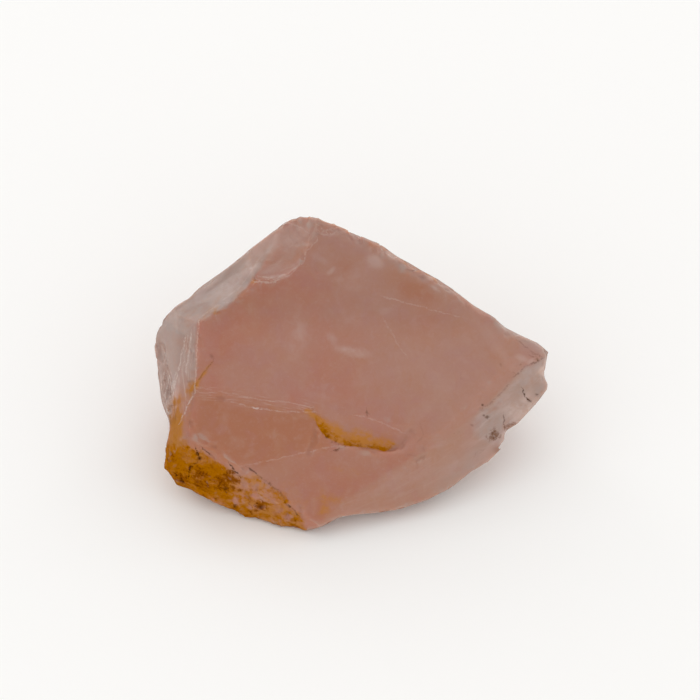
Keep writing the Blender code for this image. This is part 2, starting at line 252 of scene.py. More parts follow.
@dataclass(frozen=True)
class Region:
    """A patch of the face, bounded by an outline as seen, in millimetres."""

    edge: Outline

    def depth(self, seen: Points) -> Points:
        """Distance inside the outline (negative outside), by counting crossed sides.

        Args:
            seen: points as right and up.
        Returns:
            Signed distance in millimetres.
        """
        ring = np.array(self.edge + self.edge[:1])
        x0, y0 = ring[:-1].T
        x1, y1 = ring[1:].T
        x, y = seen[:, :1], seen[:, 1:2]
        spans = (y0 > y) != (y1 > y)
        rise = np.where(y1 == y0, 1.0, y1 - y0)
        crossing = spans & (x < x0 + (y - y0) * (x1 - x0) / rise)
        inside = crossing.sum(axis=1) % 2 == 1
        distance = Line(self.edge + self.edge[:1]).side(seen)[1]
        return np.where(inside, distance, -distance)

    def cover(self, seen: Points, blur: float) -> Points:
        """Share that rises from 0 to 1 across the outline over a blurred width."""
        return smooth(-0.5 * blur, 0.5 * blur, self.depth(seen))


@dataclass(frozen=True)
class Cloud:
    """A soft oval patch as seen: its middle, half length and half width, turn and strength."""

    right: float
    up: float
    long: float
    wide: float
    turn: float
    strength: float

    def cover(self, seen: Points) -> Points:
        """Strength in the middle, fading with the distance in half lengths and half widths.

        Args:
            seen: points as seen.
        Returns:
            Share of the cloud at each point.
        """
        x, y = seen[:, 0] - self.right, seen[:, 1] - self.up
        along = (x * math.cos(self.turn) + y * math.sin(self.turn)) / self.long
        across = (y * math.cos(self.turn) - x * math.sin(self.turn)) / self.wide
        return self.strength * smooth(1.5, 0.1, np.hypot(along, across))


def clouds(*rows: tuple[float, ...]) -> tuple[Cloud, ...]:
    """Make a cloud of each row: right, up, half length, half width, turn and strength."""
    return tuple(Cloud(*row) for row in rows)


def gathered(patches: tuple[Cloud, ...], seen: Points) -> Points:
    """Sum of several clouds at each point."""
    return sum(patch.cover(seen) for patch in patches)


@dataclass(frozen=True)
class RingFan:
    """Rings around the start of a shell-shaped scar, which fade out at a reach, in millimetres."""

    start: tuple[float, ...]
    reach: float
    spacing: float
    full: float = 0.4

    def rings(self, places: Points, wobble: Points) -> Points:
        """Height sin(2 pi (r / s + wobble)), whole within a share of the reach.

        Args:
            places: points in as many directions as the start has.
            wobble: shift of the rings in turns.
        Returns:
            Heights from -1 to 1.
        """
        away = np.linalg.norm(places[:, :len(self.start)] - self.start, axis=1)
        rings = np.sin(2.0 * math.pi * (away / self.spacing + wobble))
        return smooth(self.reach, self.full * self.reach, away) * rings


class Facet(Enum):
    """Named faces and patches of the stone as seen."""

    SHOULDER = Region((
        (-13.0, 25.7), (-13.8, 22.6), (-15.0, 20.1), (-16.8, 17.3), (-18.3, 15.2), (-21.5, 12.2),
        (-26.6, 9.7), (-28.9, 7.1), (-35.0, 9.5), (-28.4, 18.0), (-17.6, 26.1),
    ))
    CROWN = Region((
        (-13.0, 25.7), (-15.0, 20.1), (-16.6, 16.8), (-12.5, 16.9), (-10.4, 18.0), (-8.5, 19.9),
        (-7.8, 21.9), (-5.8, 24.0), (-5.3, 26.1), (-6.9, 29.2), (-12.6, 28.9),
    ))
    LEFT = Region((
        (-38.0, 10.0), (-32.8, 9.8), (-28.9, 7.1), (-29.3, 4.6), (-30.0, 0.7), (-31.0, -2.8),
        (-31.6, -8.3), (-38.0, -6.9),
    ))
    STRIP = Region((
        (-26.6, 9.7), (-27.0, 4.6), (-27.0, -1.6), (-28.0, -8.6), (-28.4, -12.2), (-32.3, -12.3),
        (-31.6, -7.9), (-31.0, -2.8), (-30.0, 0.7), (-29.3, 4.6), (-28.9, 7.1),
    ))
    LEDGE = Region((
        (-27.0, -2.5), (-20.8, -4.1), (-15.5, -5.3), (-10.6, -6.2), (-6.0, -6.2), (-4.9, -9.5),
        (-2.5, -12.3), (-8.8, -13.4), (-15.0, -15.0), (-18.9, -15.9), (-23.8, -14.1), (-28.2, -12.0),
    ))
    LOWER = Region((
        (-19.4, -15.9), (-15.0, -15.0), (-8.8, -13.6), (-2.6, -12.5), (1.2, -12.7), (7.1, -13.4),
        (11.5, -13.6), (2.6, -19.4), (-0.9, -21.5), (-6.2, -26.4), (-8.8, -25.7), (-11.5, -20.5),
        (-16.8, -16.6),
    ))
    FLANK = Region((
        (35.1, 4.2), (31.7, 1.8), (29.1, 0.2), (24.3, -4.6), (19.7, -8.6), (15.3, -12.5),
        (11.5, -14.1), (7.1, -16.6), (2.6, -19.6), (-0.9, -21.7), (-6.2, -26.6), (-1.8, -28.3),
        (8.8, -27.3), (24.9, -19.9), (31.1, -12.3), (38.1, -2.5),
    ))
    THIN_TIP = Region((
        (36.0, 3.0), (34.0, 2.8), (31.4, 1.6), (30.0, 0.5), (28.2, -1.8), (25.3, -4.5), (22.4, -6.4),
        (21.2, -7.8), (22.0, -10.4), (27.3, -12.2), (36.5, -5.1), (38.3, -1.6),
    ))
    UPPER_RIGHT = Region((
        (4.4, 14.3), (9.2, 13.0), (13.6, 12.2), (18.0, 10.6), (22.9, 8.1), (28.2, 5.5),
        (36.4, 4.2), (29.3, 10.8), (23.2, 15.0), (17.3, 19.3), (10.8, 23.0), (3.5, 20.1),
    ))
    CRUST = Region((
        (-35.9, -10.9), (-30.3, -12.3), (-28.4, -12.2), (-23.8, -14.5), (-19.4, -17.3),
        (-16.6, -17.3), (-11.5, -20.5), (-10.1, -23.1), (-7.6, -26.6), (-8.8, -31.3),
        (-19.4, -29.1), (-29.2, -24.6), (-36.9, -18.3),
    ))
    CRESCENT = Region((
        (-6.0, -6.2), (-5.6, -8.5), (-4.2, -10.6), (-1.8, -11.8), (1.2, -12.5), (5.3, -13.4),
        (7.2, -13.2), (9.2, -12.2), (8.8, -9.2), (4.8, -7.8), (-0.9, -6.7),
    ))
    FOOT = Region(((-5.2, -20.6), (-2.2, -20.8), (-1.0, -21.8), (-2.6, -22.6), (-3.8, -24.0), (-5.4, -24.8)))


class Trace(Enum):
    """Named lines of the stone as seen."""

    # The upper right edge, scalloped where small flakes have come off.
    BRINK = Line((
        (-6.5, 27.6), (-3.5, 26.6), (0.4, 25.2), (4.4, 22.9), (8.8, 20.4), (13.2, 17.8), (17.5, 14.9),
    ))
    # Lower edge of the ochre smear in the crescent hollow, and the fainter trail that leads into it.
    SMEAR_EDGE = Line((
        (-6.2, -7.2), (-5.9, -8.6), (-5.0, -10.1), (-3.2, -11.4), (-1.5, -12.2), (0.9, -12.5), (2.9, -12.6),
        (4.4, -12.9), (5.9, -13.3), (7.3, -12.9), (8.6, -12.4),
    ))
    SMEAR_TRAIL = Line(((-7.6, -6.3), (-5.9, -7.5)))
    # Rust that has run down the strip, the ridge that it keeps beside, and the lane left clear.
    STRIP_RUN = Line(((-26.6, -1.2), (-28.6, -3.4), (-30.0, -6.5), (-30.6, -11.5), (-31.2, -15.0)))
    STRIP_RIDGE = Line(((-26.8, 1.0), (-27.2, -3.0), (-28.2, -12.0)))
    STRIP_LANE = Line(((-28.6, -4.4), (-28.7, -7.5), (-28.9, -10.6)))
    STRIP_SLANT = Line(((-27.2, -1.8), (-28.6, -3.0), (-30.6, -4.6)))
    OCHRE_CRACK = Line(((-24.2, 2.5), (-25.7, 0.4), (-27.0, -1.6)))
    LEDGE_STAIN = Line(((-20.0, -4.4), (-12.0, -6.0), (-6.5, -6.6)))
    SHOULDER_MARGIN = Line(((-26.6, 9.7), (-21.5, 12.4), (-18.3, 15.2), (-16.8, 16.8)))
    CRUST_TOP = Line(((-19.0, -18.6), (-14.5, -20.8), (-12.0, -23.4)))
    FRACTURE_BAND = Line(((-27.0, -2.6), (-19.4, -4.0), (-10.6, -5.4), (-6.2, -6.0)))
    # Thin rims that go pale, above the tip and round the lower right.
    HIGH_RIM = Line(((27.0, 9.2), (30.6, 7.6), (32.9, 6.2), (35.0, 4.4)))
    LOW_RIM = Line((
        (-5.3, -26.6), (0.0, -25.0), (8.8, -22.7), (15.9, -20.1), (21.2, -16.6), (25.9, -12.2),
        (26.8, -9.5), (30.0, -7.4), (33.5, -3.3), (34.7, 0.2),
    ))


# Pale hairlines where fractures and sheets end, with how strongly each shows.
FRACTURE_LINES: tuple[tuple[Line, float], ...] = (
    (Line(((-26.4, 9.7), (-26.8, 4.6), (-27.0, 0.0), (-27.3, -3.5))), 0.55),
    (Line(((-27.9, 7.1), (-28.2, 4.2), (-28.7, 0.7))), 0.9),
    (Line(((-27.2, -2.8), (-28.7, -5.6), (-29.8, -8.1))), 0.7),
    (Line(((-25.8, 10.6), (-23.6, 12.3), (-21.5, 12.9))), 0.4),
    (Line(((-28.9, 6.9), (-29.4, 4.2), (-30.2, 0.7), (-31.2, -3.4))), 0.8),
    (Line(((-27.0, -1.9), (-23.8, -2.5), (-19.4, -3.4), (-15.5, -4.2), (-10.6, -4.6), (-6.2, -5.6))), 0.22),
    (Line(((-20.8, -4.6), (-15.9, -5.6), (-10.6, -6.3), (-6.2, -6.3))), 0.32),
    (Line(((-18.9, -15.7), (-15.0, -15.0), (-8.8, -13.6), (-2.6, -12.3))), 0.22),
    (Line(((-16.9, -5.5), (-15.4, -5.8))), 1.0),
    (Line(((-32.8, 0.7), (-33.5, -2.8), (-32.4, -6.3))), 0.9),
    (Line(((-31.9, 0.0), (-32.6, -3.5), (-31.9, -7.4))), 0.9),
    (Line(((-30.7, 0.4), (-31.4, -2.8))), 0.8),
    (Line(((6.0, 9.9), (8.8, 4.9), (9.7, 3.7))), 0.18),
    (Line(((1.0, -6.9), (4.4, -7.6), (9.3, -9.9))), 0.25),
    (Line(((6.0, 13.9), (11.0, 12.5), (14.5, 11.7), (19.2, 10.4))), 0.3),
    (Line(((-12.5, 16.8), (-10.4, 17.8), (-8.3, 19.9), (-7.6, 21.9), (-5.8, 23.8))), 0.35),
    (Line(((-16.6, 16.6), (-14.1, 16.4), (-12.2, 16.9))), 0.6),
    (Line(((-22.4, 13.2), (-19.6, 15.2), (-17.6, 17.8), (-15.8, 20.6))), 0.35),
    (Line(((-16.2, 17.4), (-13.6, 17.2), (-11.4, 17.8))), 0.5),
    (Line(((-11.6, 27.0), (-9.0, 26.4), (-7.4, 25.2))), 0.4),
    (Line(((-5.8, 26.6), (-4.4, 25.5), (-2.8, 25.9))), 0.35),
    (Line(((-5.2, 24.9), (-3.6, 24.6), (-2.4, 25.2))), 0.3),
)

# Dark cracks that hold dirt.
DIRT_LINES: tuple[tuple[Line, float], ...] = (
    (Line(((-27.0, -12.7), (-26.4, -14.5))), 1.0),
    (Line(((-21.0, -15.5), (-19.4, -17.5))), 0.9),
    (Line(((-17.6, -16.2), (-16.2, -17.3))), 0.7),
    (Line(((-16.2, -17.3), (-14.1, -19.0), (-12.2, -20.5), (-10.9, -22.9))), 0.38),
    (Line(((-10.8, -22.7), (-9.3, -24.2))), 0.9),
    (Line(((-25.7, -12.7), (-24.3, -13.9))), 0.7),
    (Line(((-28.4, -17.6), (-28.2, -15.9), (-26.8, -15.2))), 0.9),
    (Line(((-2.8, -13.0), (-1.2, -12.5))), 0.6),
    (Line(((3.0, -6.3), (3.1, -6.7))), 0.4),
    (Line(((30.5, -2.6), (30.9, -3.6), (31.7, -4.4))), 1.0),
    (Line(((27.1, -7.2), (27.2, -8.6))), 0.5),
    (Line(((34.0, 3.1), (32.9, 2.5), (30.9, 1.9), (30.0, 0.8), (28.9, -0.1))), 0.35),
    (Line(((27.6, -1.9), (25.8, -3.9), (23.5, -5.7))), 0.25),
    (Line(((29.4, 6.3), (31.7, 4.6), (33.5, 3.5))), 0.22),
    (Line(((31.7, 3.7), (32.6, 3.3))), 0.3),
    (Line(((12.3, -8.6), (12.9, -10.4), (11.8, -11.8))), 0.10),
    (Line(((-30.7, -17.3), (-29.3, -18.7))), 0.9),
    (Line(((-24.2, 2.5), (-25.7, 0.4), (-27.0, -1.6))), 0.35),
)

# Single dark specks: right, up and radius.
SPECKS: tuple[tuple[float, float, float], ...] = (
    (23.3, -5.1, 0.30), (24.2, -7.2, 0.40), (23.5, -6.9, 0.25), (31.7, -4.4, 0.40),
    (-19.2, 1.2, 0.25), (-24.0, 3.5, 0.25), (26.5, 1.8, 0.25), (-22.0, -19.7, 0.5),
    (-26.8, -13.6, 0.45), (-26.4, -14.4, 0.55), (-2.3, -12.9, 0.3), (3.0, -6.5, 0.25),
    (19.0, -9.9, 0.25), (21.6, -8.6, 0.25), (-5.5, 24.8, 0.22), (32.9, -3.3, 0.25),
    (-20.3, -22.9, 0.4), (-15.7, -23.1, 0.5),
)

# The tables below hold a cloud's right, up, half length, half width, turn and strength.

# Deeper pink places.
DEEPS = clouds(
    (11.0, 14.8, 5.0, 2.4, -0.45, 0.75), (12.5, 9.0, 5.5, 3.0, 0.0, 0.40),
    (-1.0, 17.8, 4.5, 2.6, 0.3, 0.35), (-16.0, 12.0, 5.0, 3.5, 0.6, 0.35),
    (-22.0, 5.0, 3.5, 4.0, 0.0, 0.30), (2.5, 24.0, 4.0, 1.2, -0.4, 0.4), (-11.8, 20.2, 3.0, 1.3, 0.2, 0.75),
    (27.0, 3.5, 3.0, 1.4, -0.4, 0.30), (-4.0, -0.5, 3.0, 1.5, 0.2, 0.25),
)

# Dirty, dark patches.
GRIME = clouds(
    (-29.8, -18.0, 1.5, 1.1, -0.5, 0.80), (-26.6, -17.3, 1.6, 1.2, 0.3, 0.80),
    (-28.0, -16.0, 1.8, 0.7, 0.6, 0.40), (-25.9, -19.2, 2.2, 1.0, -0.3, 0.75),
    (-22.1, -18.7, 2.3, 1.5, -0.3, 0.90), (-20.7, -17.4, 1.8, 1.0, -0.6, 0.80),
    (-18.5, -19.9, 2.4, 0.4, 0.0, 0.70), (-15.7, -23.1, 0.9, 0.8, 0.0, 1.00),
    (-16.1, -22.5, 2.0, 1.3, -0.3, 0.60), (-20.3, -22.9, 0.7, 0.5, 0.0, 0.70),
    (-17.1, -24.0, 0.9, 0.7, 0.0, 0.70), (-10.4, -25.4, 1.6, 0.9, -0.4, 0.45),
    (-9.3, -27.0, 1.8, 0.7, 0.0, 0.55), (-31.5, -14.5, 2.4, 0.8, 1.3, 0.35),
    (-14.5, -18.9, 1.6, 0.5, -0.6, 0.35), (25.4, -10.3, 1.3, 1.1, 0.5, 0.85),
    (28.2, -8.9, 1.9, 0.5, 0.45, 0.55), (24.2, -7.4, 0.7, 0.5, -0.6, 0.45),
    (22.9, -13.7, 1.4, 0.4, 0.67, 0.35), (18.5, -10.0, 0.8, 0.4, 0.5, 0.30),
    (19.5, 0.1, 0.3, 1.5, 0.1, 0.18), (29.6, 1.4, 2.4, 0.6, 0.85, 0.30), (33.0, 3.0, 1.4, 0.5, 0.5, 0.35),
    (-32.8, -0.9, 0.6, 0.4, 0.5, 0.35), (-26.0, 9.7, 1.3, 0.4, 0.45, 0.35),
    (-3.6, -10.8, 2.4, 0.6, -0.75, 0.50), (1.6, -12.3, 3.6, 0.45, -0.10, 0.45),
)

# Milky veils just under the face.
VEILS = clouds(
    (0.2, 4.4, 3.2, 0.9, -0.22, 1.0), (-8.6, 7.4, 1.2, 3.0, 0.2, 0.35), (15.9, -3.3, 8.0, 1.4, 0.75, 0.22),
    (26.0, 5.0, 6.0, 1.0, -0.9, 0.45), (13.0, 3.0, 9.0, 2.5, -1.0, 0.20),
    # The first veil on this row is painted sheen, which lightens the shoulder.
    (-15.0, 23.2, 4.2, 1.3, 0.85, 0.8), (-10.0, 24.6, 3.2, 1.2, 0.4, 0.8),
    (-14.0, 18.6, 2.4, 0.5, 0.5, 0.5), (-3.2, 6.6, 1.6, 0.7, -0.9, 0.6), (1.8, 3.9, 1.6, 0.5, 0.1, 0.5),
    (-9.5, 6.3, 1.4, 4.2, -0.15, 0.5), (-4.9, 20.3, 2.2, 0.6, -0.5, 0.55),
    (4.2, 20.0, 1.8, 1.1, -0.5, 0.95), (2.2, 19.0, 2.4, 1.4, 0.4, 0.4), (-2.3, 16.9, 1.2, 0.6, 0.2, 0.45),
    (1.0, 16.5, 2.6, 1.6, 0.3, 0.35), (6.2, 11.3, 1.2, 0.7, 0.1, 0.5), (0.0, 9.9, 1.2, 0.7, 0.4, 0.45),
    (-1.4, 11.5, 0.6, 2.4, 0.3, 0.35), (-10.6, 23.1, 2.2, 3.2, -0.5, 0.5),
    (-8.6, 25.4, 2.0, 1.4, 0.3, 0.55), (-12.5, 19.0, 2.2, 1.0, 0.2, 0.5),
    (5.0, -20.2, 6.0, 0.7, 0.55, 0.35), (12.0, -17.6, 6.0, 0.8, 0.5, 0.40),
    (18.0, -16.2, 5.0, 1.0, 0.55, 0.45), (24.0, -13.6, 3.0, 0.9, 0.7, 0.5),
    (3.0, -24.0, 6.0, 1.0, 0.15, 0.30), (-5.0, -3.6, 2.6, 0.6, -0.2, 0.35),
    (2.6, -1.0, 5.5, 1.0, 0.35, 0.18), (30.2, 3.2, 1.4, 0.6, -0.3, 0.6), (31.9, 2.6, 0.8, 0.4, 0.6, 0.8),
    (-4.8, -3.6, 3.2, 0.5, 1.45, 0.3), (27.2, -4.6, 2.4, 1.4, 0.5, 0.35),
    (21.5, -11.8, 2.6, 0.7, 0.35, 0.5), (15.4, -12.2, 2.0, 0.5, 0.30, 0.5),
    (9.6, -16.8, 3.0, 0.7, 0.5, 0.25), (-5.0, -17.5, 3.0, 1.2, 0.2, 0.15),
)

# Painted highlights: places where a flake or sheet is painted pale, as if it shone.
GLEAMS = clouds(
    (4.4, 20.2, 1.5, 0.8, -0.5, 0.85), (7.2, 21.2, 1.5, 0.4, -0.6, 1.0), (14.3, 17.1, 0.9, 0.35, -0.5, 1.0),
    (15.0, 15.3, 1.0, 0.3, -0.6, 0.7), (0.4, 4.3, 2.6, 0.55, -0.2, 1.0), (30.2, 3.1, 1.2, 0.5, -0.3, 0.45),
    (31.9, 2.6, 0.7, 0.4, 0.6, 0.8), (33.8, 0.8, 0.6, 0.9, 0.0, 1.0), (29.6, -5.8, 3.0, 1.7, 0.75, 1.0),
    (-3.4, 18.4, 0.8, 0.4, 0.6, 0.5), (-2.2, 25.0, 1.4, 0.5, 0.2, 0.4), (-15.6, 21.6, 4.6, 1.7, 0.85, 1.5),
    (-20.6, 16.2, 4.2, 1.3, 0.75, 0.6), (-12.9, 17.4, 2.2, 0.4, 0.1, 0.8),
    (-8.6, 22.9, 2.2, 0.35, 0.1, 0.5),
)

# Ochre films on the lower face, gaps in the crust band, and tan places on the thin tip.
OCHRE_FILMS = clouds((-0.6, -16.4, 4.2, 0.8, -0.05, 0.20), (1.0, -18.6, 2.0, 1.0, 1.2, 0.14))
CRUST_WINDOWS = clouds((-23.6, -22.2, 2.6, 1.0, -0.5, 0.8), (-19.4, -21.2, 1.8, 0.9, -0.3, 0.6))
TAN_PATCHES = clouds((33.4, -1.8, 2.4, 1.5, 1.2, 1.0), (24.6, -9.0, 3.4, 2.4, 0.5, 0.8))

# Single places: hackles on the left face, painted sheen on the shoulder and a dark patch under the notch.
LEFT_HACKLES = Cloud(-32.6, -3.4, 3.0, 4.8, 0.0, 0.65)
SHOULDER_SHEEN = Cloud(-15.6, 21.3, 4.4, 1.9, 0.9, 0.6)
NOTCH_DARK = Cloud(26.6, -13.2, 1.4, 1.1, 0.0, 0.8)

# How strongly the break has streaked each facet.
STREAK_STRENGTH: tuple[tuple[Facet, float], ...] = (
    (Facet.SHOULDER, 0.30), (Facet.CROWN, 0.38), (Facet.LEFT, 0.08), (Facet.STRIP, 0.55),
    (Facet.FLANK, 0.14), (Facet.LOWER, 0.03),
)

# Shifts that bring ridges and corners to where they are seen: right, up, shift right, shift up, reach.
RIDGE_SHIFTS: tuple[tuple[float, float, float, float, float], ...] = (
    (-26.6, 8.4, 0.0, 1.15, 4.2),
    (-21.5, 11.6, 0.4, 0.75, 4.0),
    (-18.0, 16.0, 0.8, 0.0, 3.0),
    (25.6, -11.6, 0.9, -0.2, 2.4),
    (25.9, -11.9, 0.6, 0.0, 0.8),
    (26.5, -12.9, -0.7, 0.2, 0.7),
)

# Shell-shaped scars whose rings fan out, from starts as seen, with the facets they lie in.
FRONT_FANS: tuple[tuple[Facet, RingFan], ...] = (
    (Facet.CROWN, RingFan((-6.5, 27.0), 13.0, 1.7, 0.3)),
    (Facet.SHOULDER, RingFan((-34.5, 31.5), 40.0, 2.6, 0.3)),
)

# The same for the hidden side, from starts over the floor.
BACK_FANS: tuple[RingFan, ...] = (
    RingFan((-22.0, 14.0, 4.0), 22.0, 2.6), RingFan((20.0, 12.0, 5.0), 20.0, 2.2),
    RingFan((-33.0, 4.0, 3.0), 14.0, 1.9), RingFan((30.0, 6.0, 20.0), 10.0, 1.6),
    RingFan((-2.0, 21.0, 2.0), 18.0, 2.4),
)


@dataclass(frozen=True)
class Sweep:
    """Fine streaks that follow arcs around a middle, as seen, in millimetres."""

    middle: tuple[float, float]
    long: float
    wide: float

    def flow(self, seen: Points) -> Points:
        """Place along and across the streaks, counted in streak lengths and widths.

        Args:
            seen: points as seen.
        Returns:
            Two numbers and a zero for each point.
        """
        x, y = seen[:, 0] - self.middle[0], seen[:, 1] - self.middle[1]
        radius = np.hypot(x, y)
        along = np.arctan2(y, x) * radius.mean() / self.long
        return np.column_stack((along, radius / self.wide, np.zeros(len(seen))))


# Which way the fine streaks of each facet sweep; the first one serves all the rest.
SWEEPS: tuple[tuple[Facet | None, Sweep], ...] = (
    (None, Sweep((-30.0, -104.0), 3.6, 0.32)),
    (Facet.SHOULDER, Sweep((-34.5, 31.5), 16.0, 2.0)),
    (Facet.CROWN, Sweep((-15.5, 29.5), 6.0, 1.5)),
    (Facet.LEFT, Sweep((-22.0, -2.4), 3.0, 0.42)),
    (Facet.STRIP, Sweep((80.0, 6.0), 5.0, 0.42)),
    (Facet.FLANK, Sweep((-37.0, 74.0), 6.0, 0.9)),
)


@dataclass
class Survey:
    """Where each place of the surface lies, which way it faces, and what its paint shares."""

    fine: Points
    slopes: Points
    bulge: Points

    def __post_init__(self) -> None:
        """Work out the views, noises and patches that several masks use."""
        self.seen = VIEW.seen(self.fine)
        self.floor = self.fine / MM
        self.right, self.up, self.near = self.seen.T
        self.turned = self.slopes @ VIEW.towards()
        self.front = smooth(0.02, 0.22, self.turned)
        self.hidden = 1.0 - self.front
        self.blotch = Noise.BLOTCH.value.over(self.floor)
        self.patch = Noise.PATCH.value.over(self.floor)
        level = np.zeros(len(self.fine))
        self.drift = np.column_stack((self.blotch, Noise.DRIFT.value.over(self.floor), level))
        self.wandered = self.seen + 2.0 * self.drift
        along, across = 0.9 * self.right - 0.43 * self.up, 4.2 * self.up + 2.0 * self.right
        slant = np.column_stack((along, across, level)) + 1.2 * self.drift
        self.streaky = Noise.STREAKY.value.over(slant)
        self.crust = Facet.CRUST.value.cover(self.seen + 0.9 * self.drift, 1.8)
        self.crust *= smooth(-10.0, -4.0, self.near)
        self.crust_end = smooth(-17.0, -23.0, self.right)
        self.worn = smooth(0.04, 0.16, self.bulge)
        self.seam = smooth(-0.01, -0.08, self.bulge)
        self.chipped = Trace.BRINK.value.near(self.seen, 2.6) * self.front
        thinning = smooth(21.0, 26.5, self.right - 0.3 * self.up) * self.front
        self.tip = Facet.THIN_TIP.value.cover(self.seen + 0.5 * self.drift, 1.5) * thinning
        self.tan = np.clip(gathered(TAN_PATCHES, self.seen), 0.0, 1.0)

    def cover(self, facet: Facet) -> Points:
        """Share of a facet at each place, with a crisp edge."""
        return facet.value.cover(self.seen, 0.7) * self.front

    def soft(self, facet: Facet) -> Points:
        """Share of a facet at each place, with a wandering, blurred edge."""
        return facet.value.cover(self.wandered, 3.2) * self.front


@dataclass
class StoneSurface:
    """The solid's skin, refined: patches over every flat of the solid, with broken relief.

    Each flat is a grid of two parameters a and b (a + b + c = 1): place = a A + b B + c C, bent
    towards the corners' tangent planes so that swaying faces and scars come out round.
    """

    rows: int = 5
    roundness: float = 0.7
    crease: float = 32.0
    block: int = 4000
    soft_rounds: int = 4
    bulge_rounds: int = 16
    hollow_rounds: int = 60
    hollow_reach: float = 2.2
    ridge_turn: float = 26.0
    sway: float = 0.10
    back_sway: float = 0.22
    grain: float = 0.035
    chip_width: float = 0.9
    chip_depth: float = 0.22
    scallop_depth: float = 0.30
    ring_height: float = 0.045
    spike: tuple[float, float] = (26.8, -13.0)
    crust_height: float = 0.30
    foot_tuck: float = 0.030

    def corners(self) -> tuple[Points, Points]:
        """Read the solid's mesh and join its loose triangles.

        Returns:
            Places in metres and the triangles' corner numbers.
        """
        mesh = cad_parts[NODE].data
        places = np.empty(3 * len(mesh.vertices))
        mesh.vertices.foreach_get("co", places)
        mesh.calc_loop_triangles()
        flats = np.empty(3 * len(mesh.loop_triangles), dtype=np.int32)
        mesh.loop_triangles.foreach_get("vertices", flats)
        grid = np.round(places.reshape(-1, 3) / 1e-7).astype(np.int64)
        _, first, joined = np.unique(grid, axis=0, return_index=True, return_inverse=True)
        flats = joined.reshape(-1)[flats].reshape(-1, 3)
        whole = (flats[:, 0] != flats[:, 1]) & (flats[:, 1] != flats[:, 2]) & (flats[:, 2] != flats[:, 0])
        return places.reshape(-1, 3)[first], flats[whole]

    def corner_slopes(self, places: Points, flats: Points) -> Points:
        """Normal of each corner of each flat, mixed only with flats that turn gently from it.

        Args:
            places: the corners' places.
            flats: corner numbers, three a row.
        Returns:
            Unit normals, shaped (flats, 3, 3).
        """
        a, b, c = (places[flats[:, i]] for i in range(3))
        area = np.cross(b - a, c - a)
        unit = area / np.maximum(np.linalg.norm(area, axis=1, keepdims=True), 1e-20)
        owner = np.repeat(np.arange(len(flats)), 3)
        order = np.argsort(flats.reshape(-1), kind="stable")
        point = flats.reshape(-1)[order]
        start = np.searchsorted(point, np.arange(len(places) + 1))
        most = int(np.diff(start).max())
        slots = start[flats.reshape(-1)][:, None] + np.arange(most)
        real = slots < start[flats.reshape(-1) + 1][:, None]
        beside = owner[order][np.minimum(slots, len(order) - 1)]
        gentle = (unit[beside] * unit[owner][:, None]).sum(2) > math.cos(math.radians(self.crease))
        total = (area[beside] * (real & gentle)[..., None]).sum(1)
        total /= np.maximum(np.linalg.norm(total, axis=1, keepdims=True), 1e-20)
        return total.reshape(-1, 3, 3)

    def refine(self, places: Points, flats: Points) -> tuple[Points, Points]:
        """Lay a small grid over every flat, bend it and weld what flats share.

        Args:
            places: the solid's corner places.
            flats: corner numbers, three a row.
        Returns:
            Places and triangles of the fine surface.
        """
        rows = self.rows
        steps = np.array([(i, j, rows - i - j) for i in range(rows + 1) for j in range(rows + 1 - i)])
        number = {(int(i), int(j)): k for k, (i, j, _) in enumerate(steps)}
        small = [(number[i, j], number[i + 1, j], number[i, j + 1])
                 for i in range(rows) for j in range(rows - i)]
        small += [(number[i + 1, j], number[i + 1, j + 1], number[i, j + 1])
                  for i in range(rows - 1) for j in range(rows - 1 - i)]
        share = steps / rows
        corner = places[flats]
        slopes = self.corner_slopes(places, flats)
        flat = np.einsum("kc,tcx->tkx", share, corner)
        lift = np.einsum("tkcx,tcx->tkc", flat[:, :, None] - corner[:, None], slopes)
        bent = flat - self.roundness * np.einsum("kc,tkc,tcx->tkx", share, lift, slopes)
        codes = np.where(steps[None] > 0, (flats[:, None] + 1) * (rows + 1) + steps[None], 0)
        codes = np.sort(codes.reshape(-1, 3), axis=1)
        _, weld = np.unique(codes, axis=0, return_inverse=True)
        weld = weld.reshape(-1)
        count = np.bincount(weld)
        fine = np.column_stack([np.bincount(weld, bent[..., i].reshape(-1)) / count for i in range(3)])
        local = weld.reshape(len(flats), -1)
        return fine, local[:, np.array(small)].reshape(-1, 3)

    def slopes(self, places: Points, flats: Points) -> Points:
        """Mean normal at each place, weighted by the flats' areas.

        Args:
            places: points, one a row.
            flats: corner numbers, three a row.
        Returns:
            Unit normals, one a row.
        """
        a, b, c = (places[flats[:, i]] for i in range(3))
        area = np.cross(b - a, c - a)
        total = np.column_stack([
            sum(np.bincount(flats[:, k], area[:, i], len(places)) for k in range(3)) for i in range(3)
        ])
        return total / np.maximum(np.linalg.norm(total, axis=1, keepdims=True), 1e-20)

    def soften(self, places: Points, flats: Points, share: Points, firm: int, filled: int) -> Points:
        """Round off the surface: every point goes halfway to its neighbours' mean and back.

        In firm rounds the step back is a little longer than the step there, so only what is finer
        than about four neighbours goes. In filled rounds there is no step back, so hollows fill.

        Args:
            places: points, one a row.
            flats: corner numbers, three a row.
            share: how much of each filled round every point takes part in.
            firm: number of firm rounds.
            filled: number of filled rounds.
        Returns:
            The softened points.
        """
        start, end = np.concatenate([flats[:, [0, 1]], flats[:, [1, 2]], flats[:, [2, 0]]]).T
        count = np.bincount(start, minlength=len(places))[:, None]
        steps = [(0.5, -0.52)] * firm + [(0.5 * share[:, None],)] * filled
        for step in (step for pair in steps for step in pair):
            mean = np.column_stack([np.bincount(start, places[end, i], len(places)) for i in range(3)])
            mean /= count
            places = places + step * (mean - places)
        return places

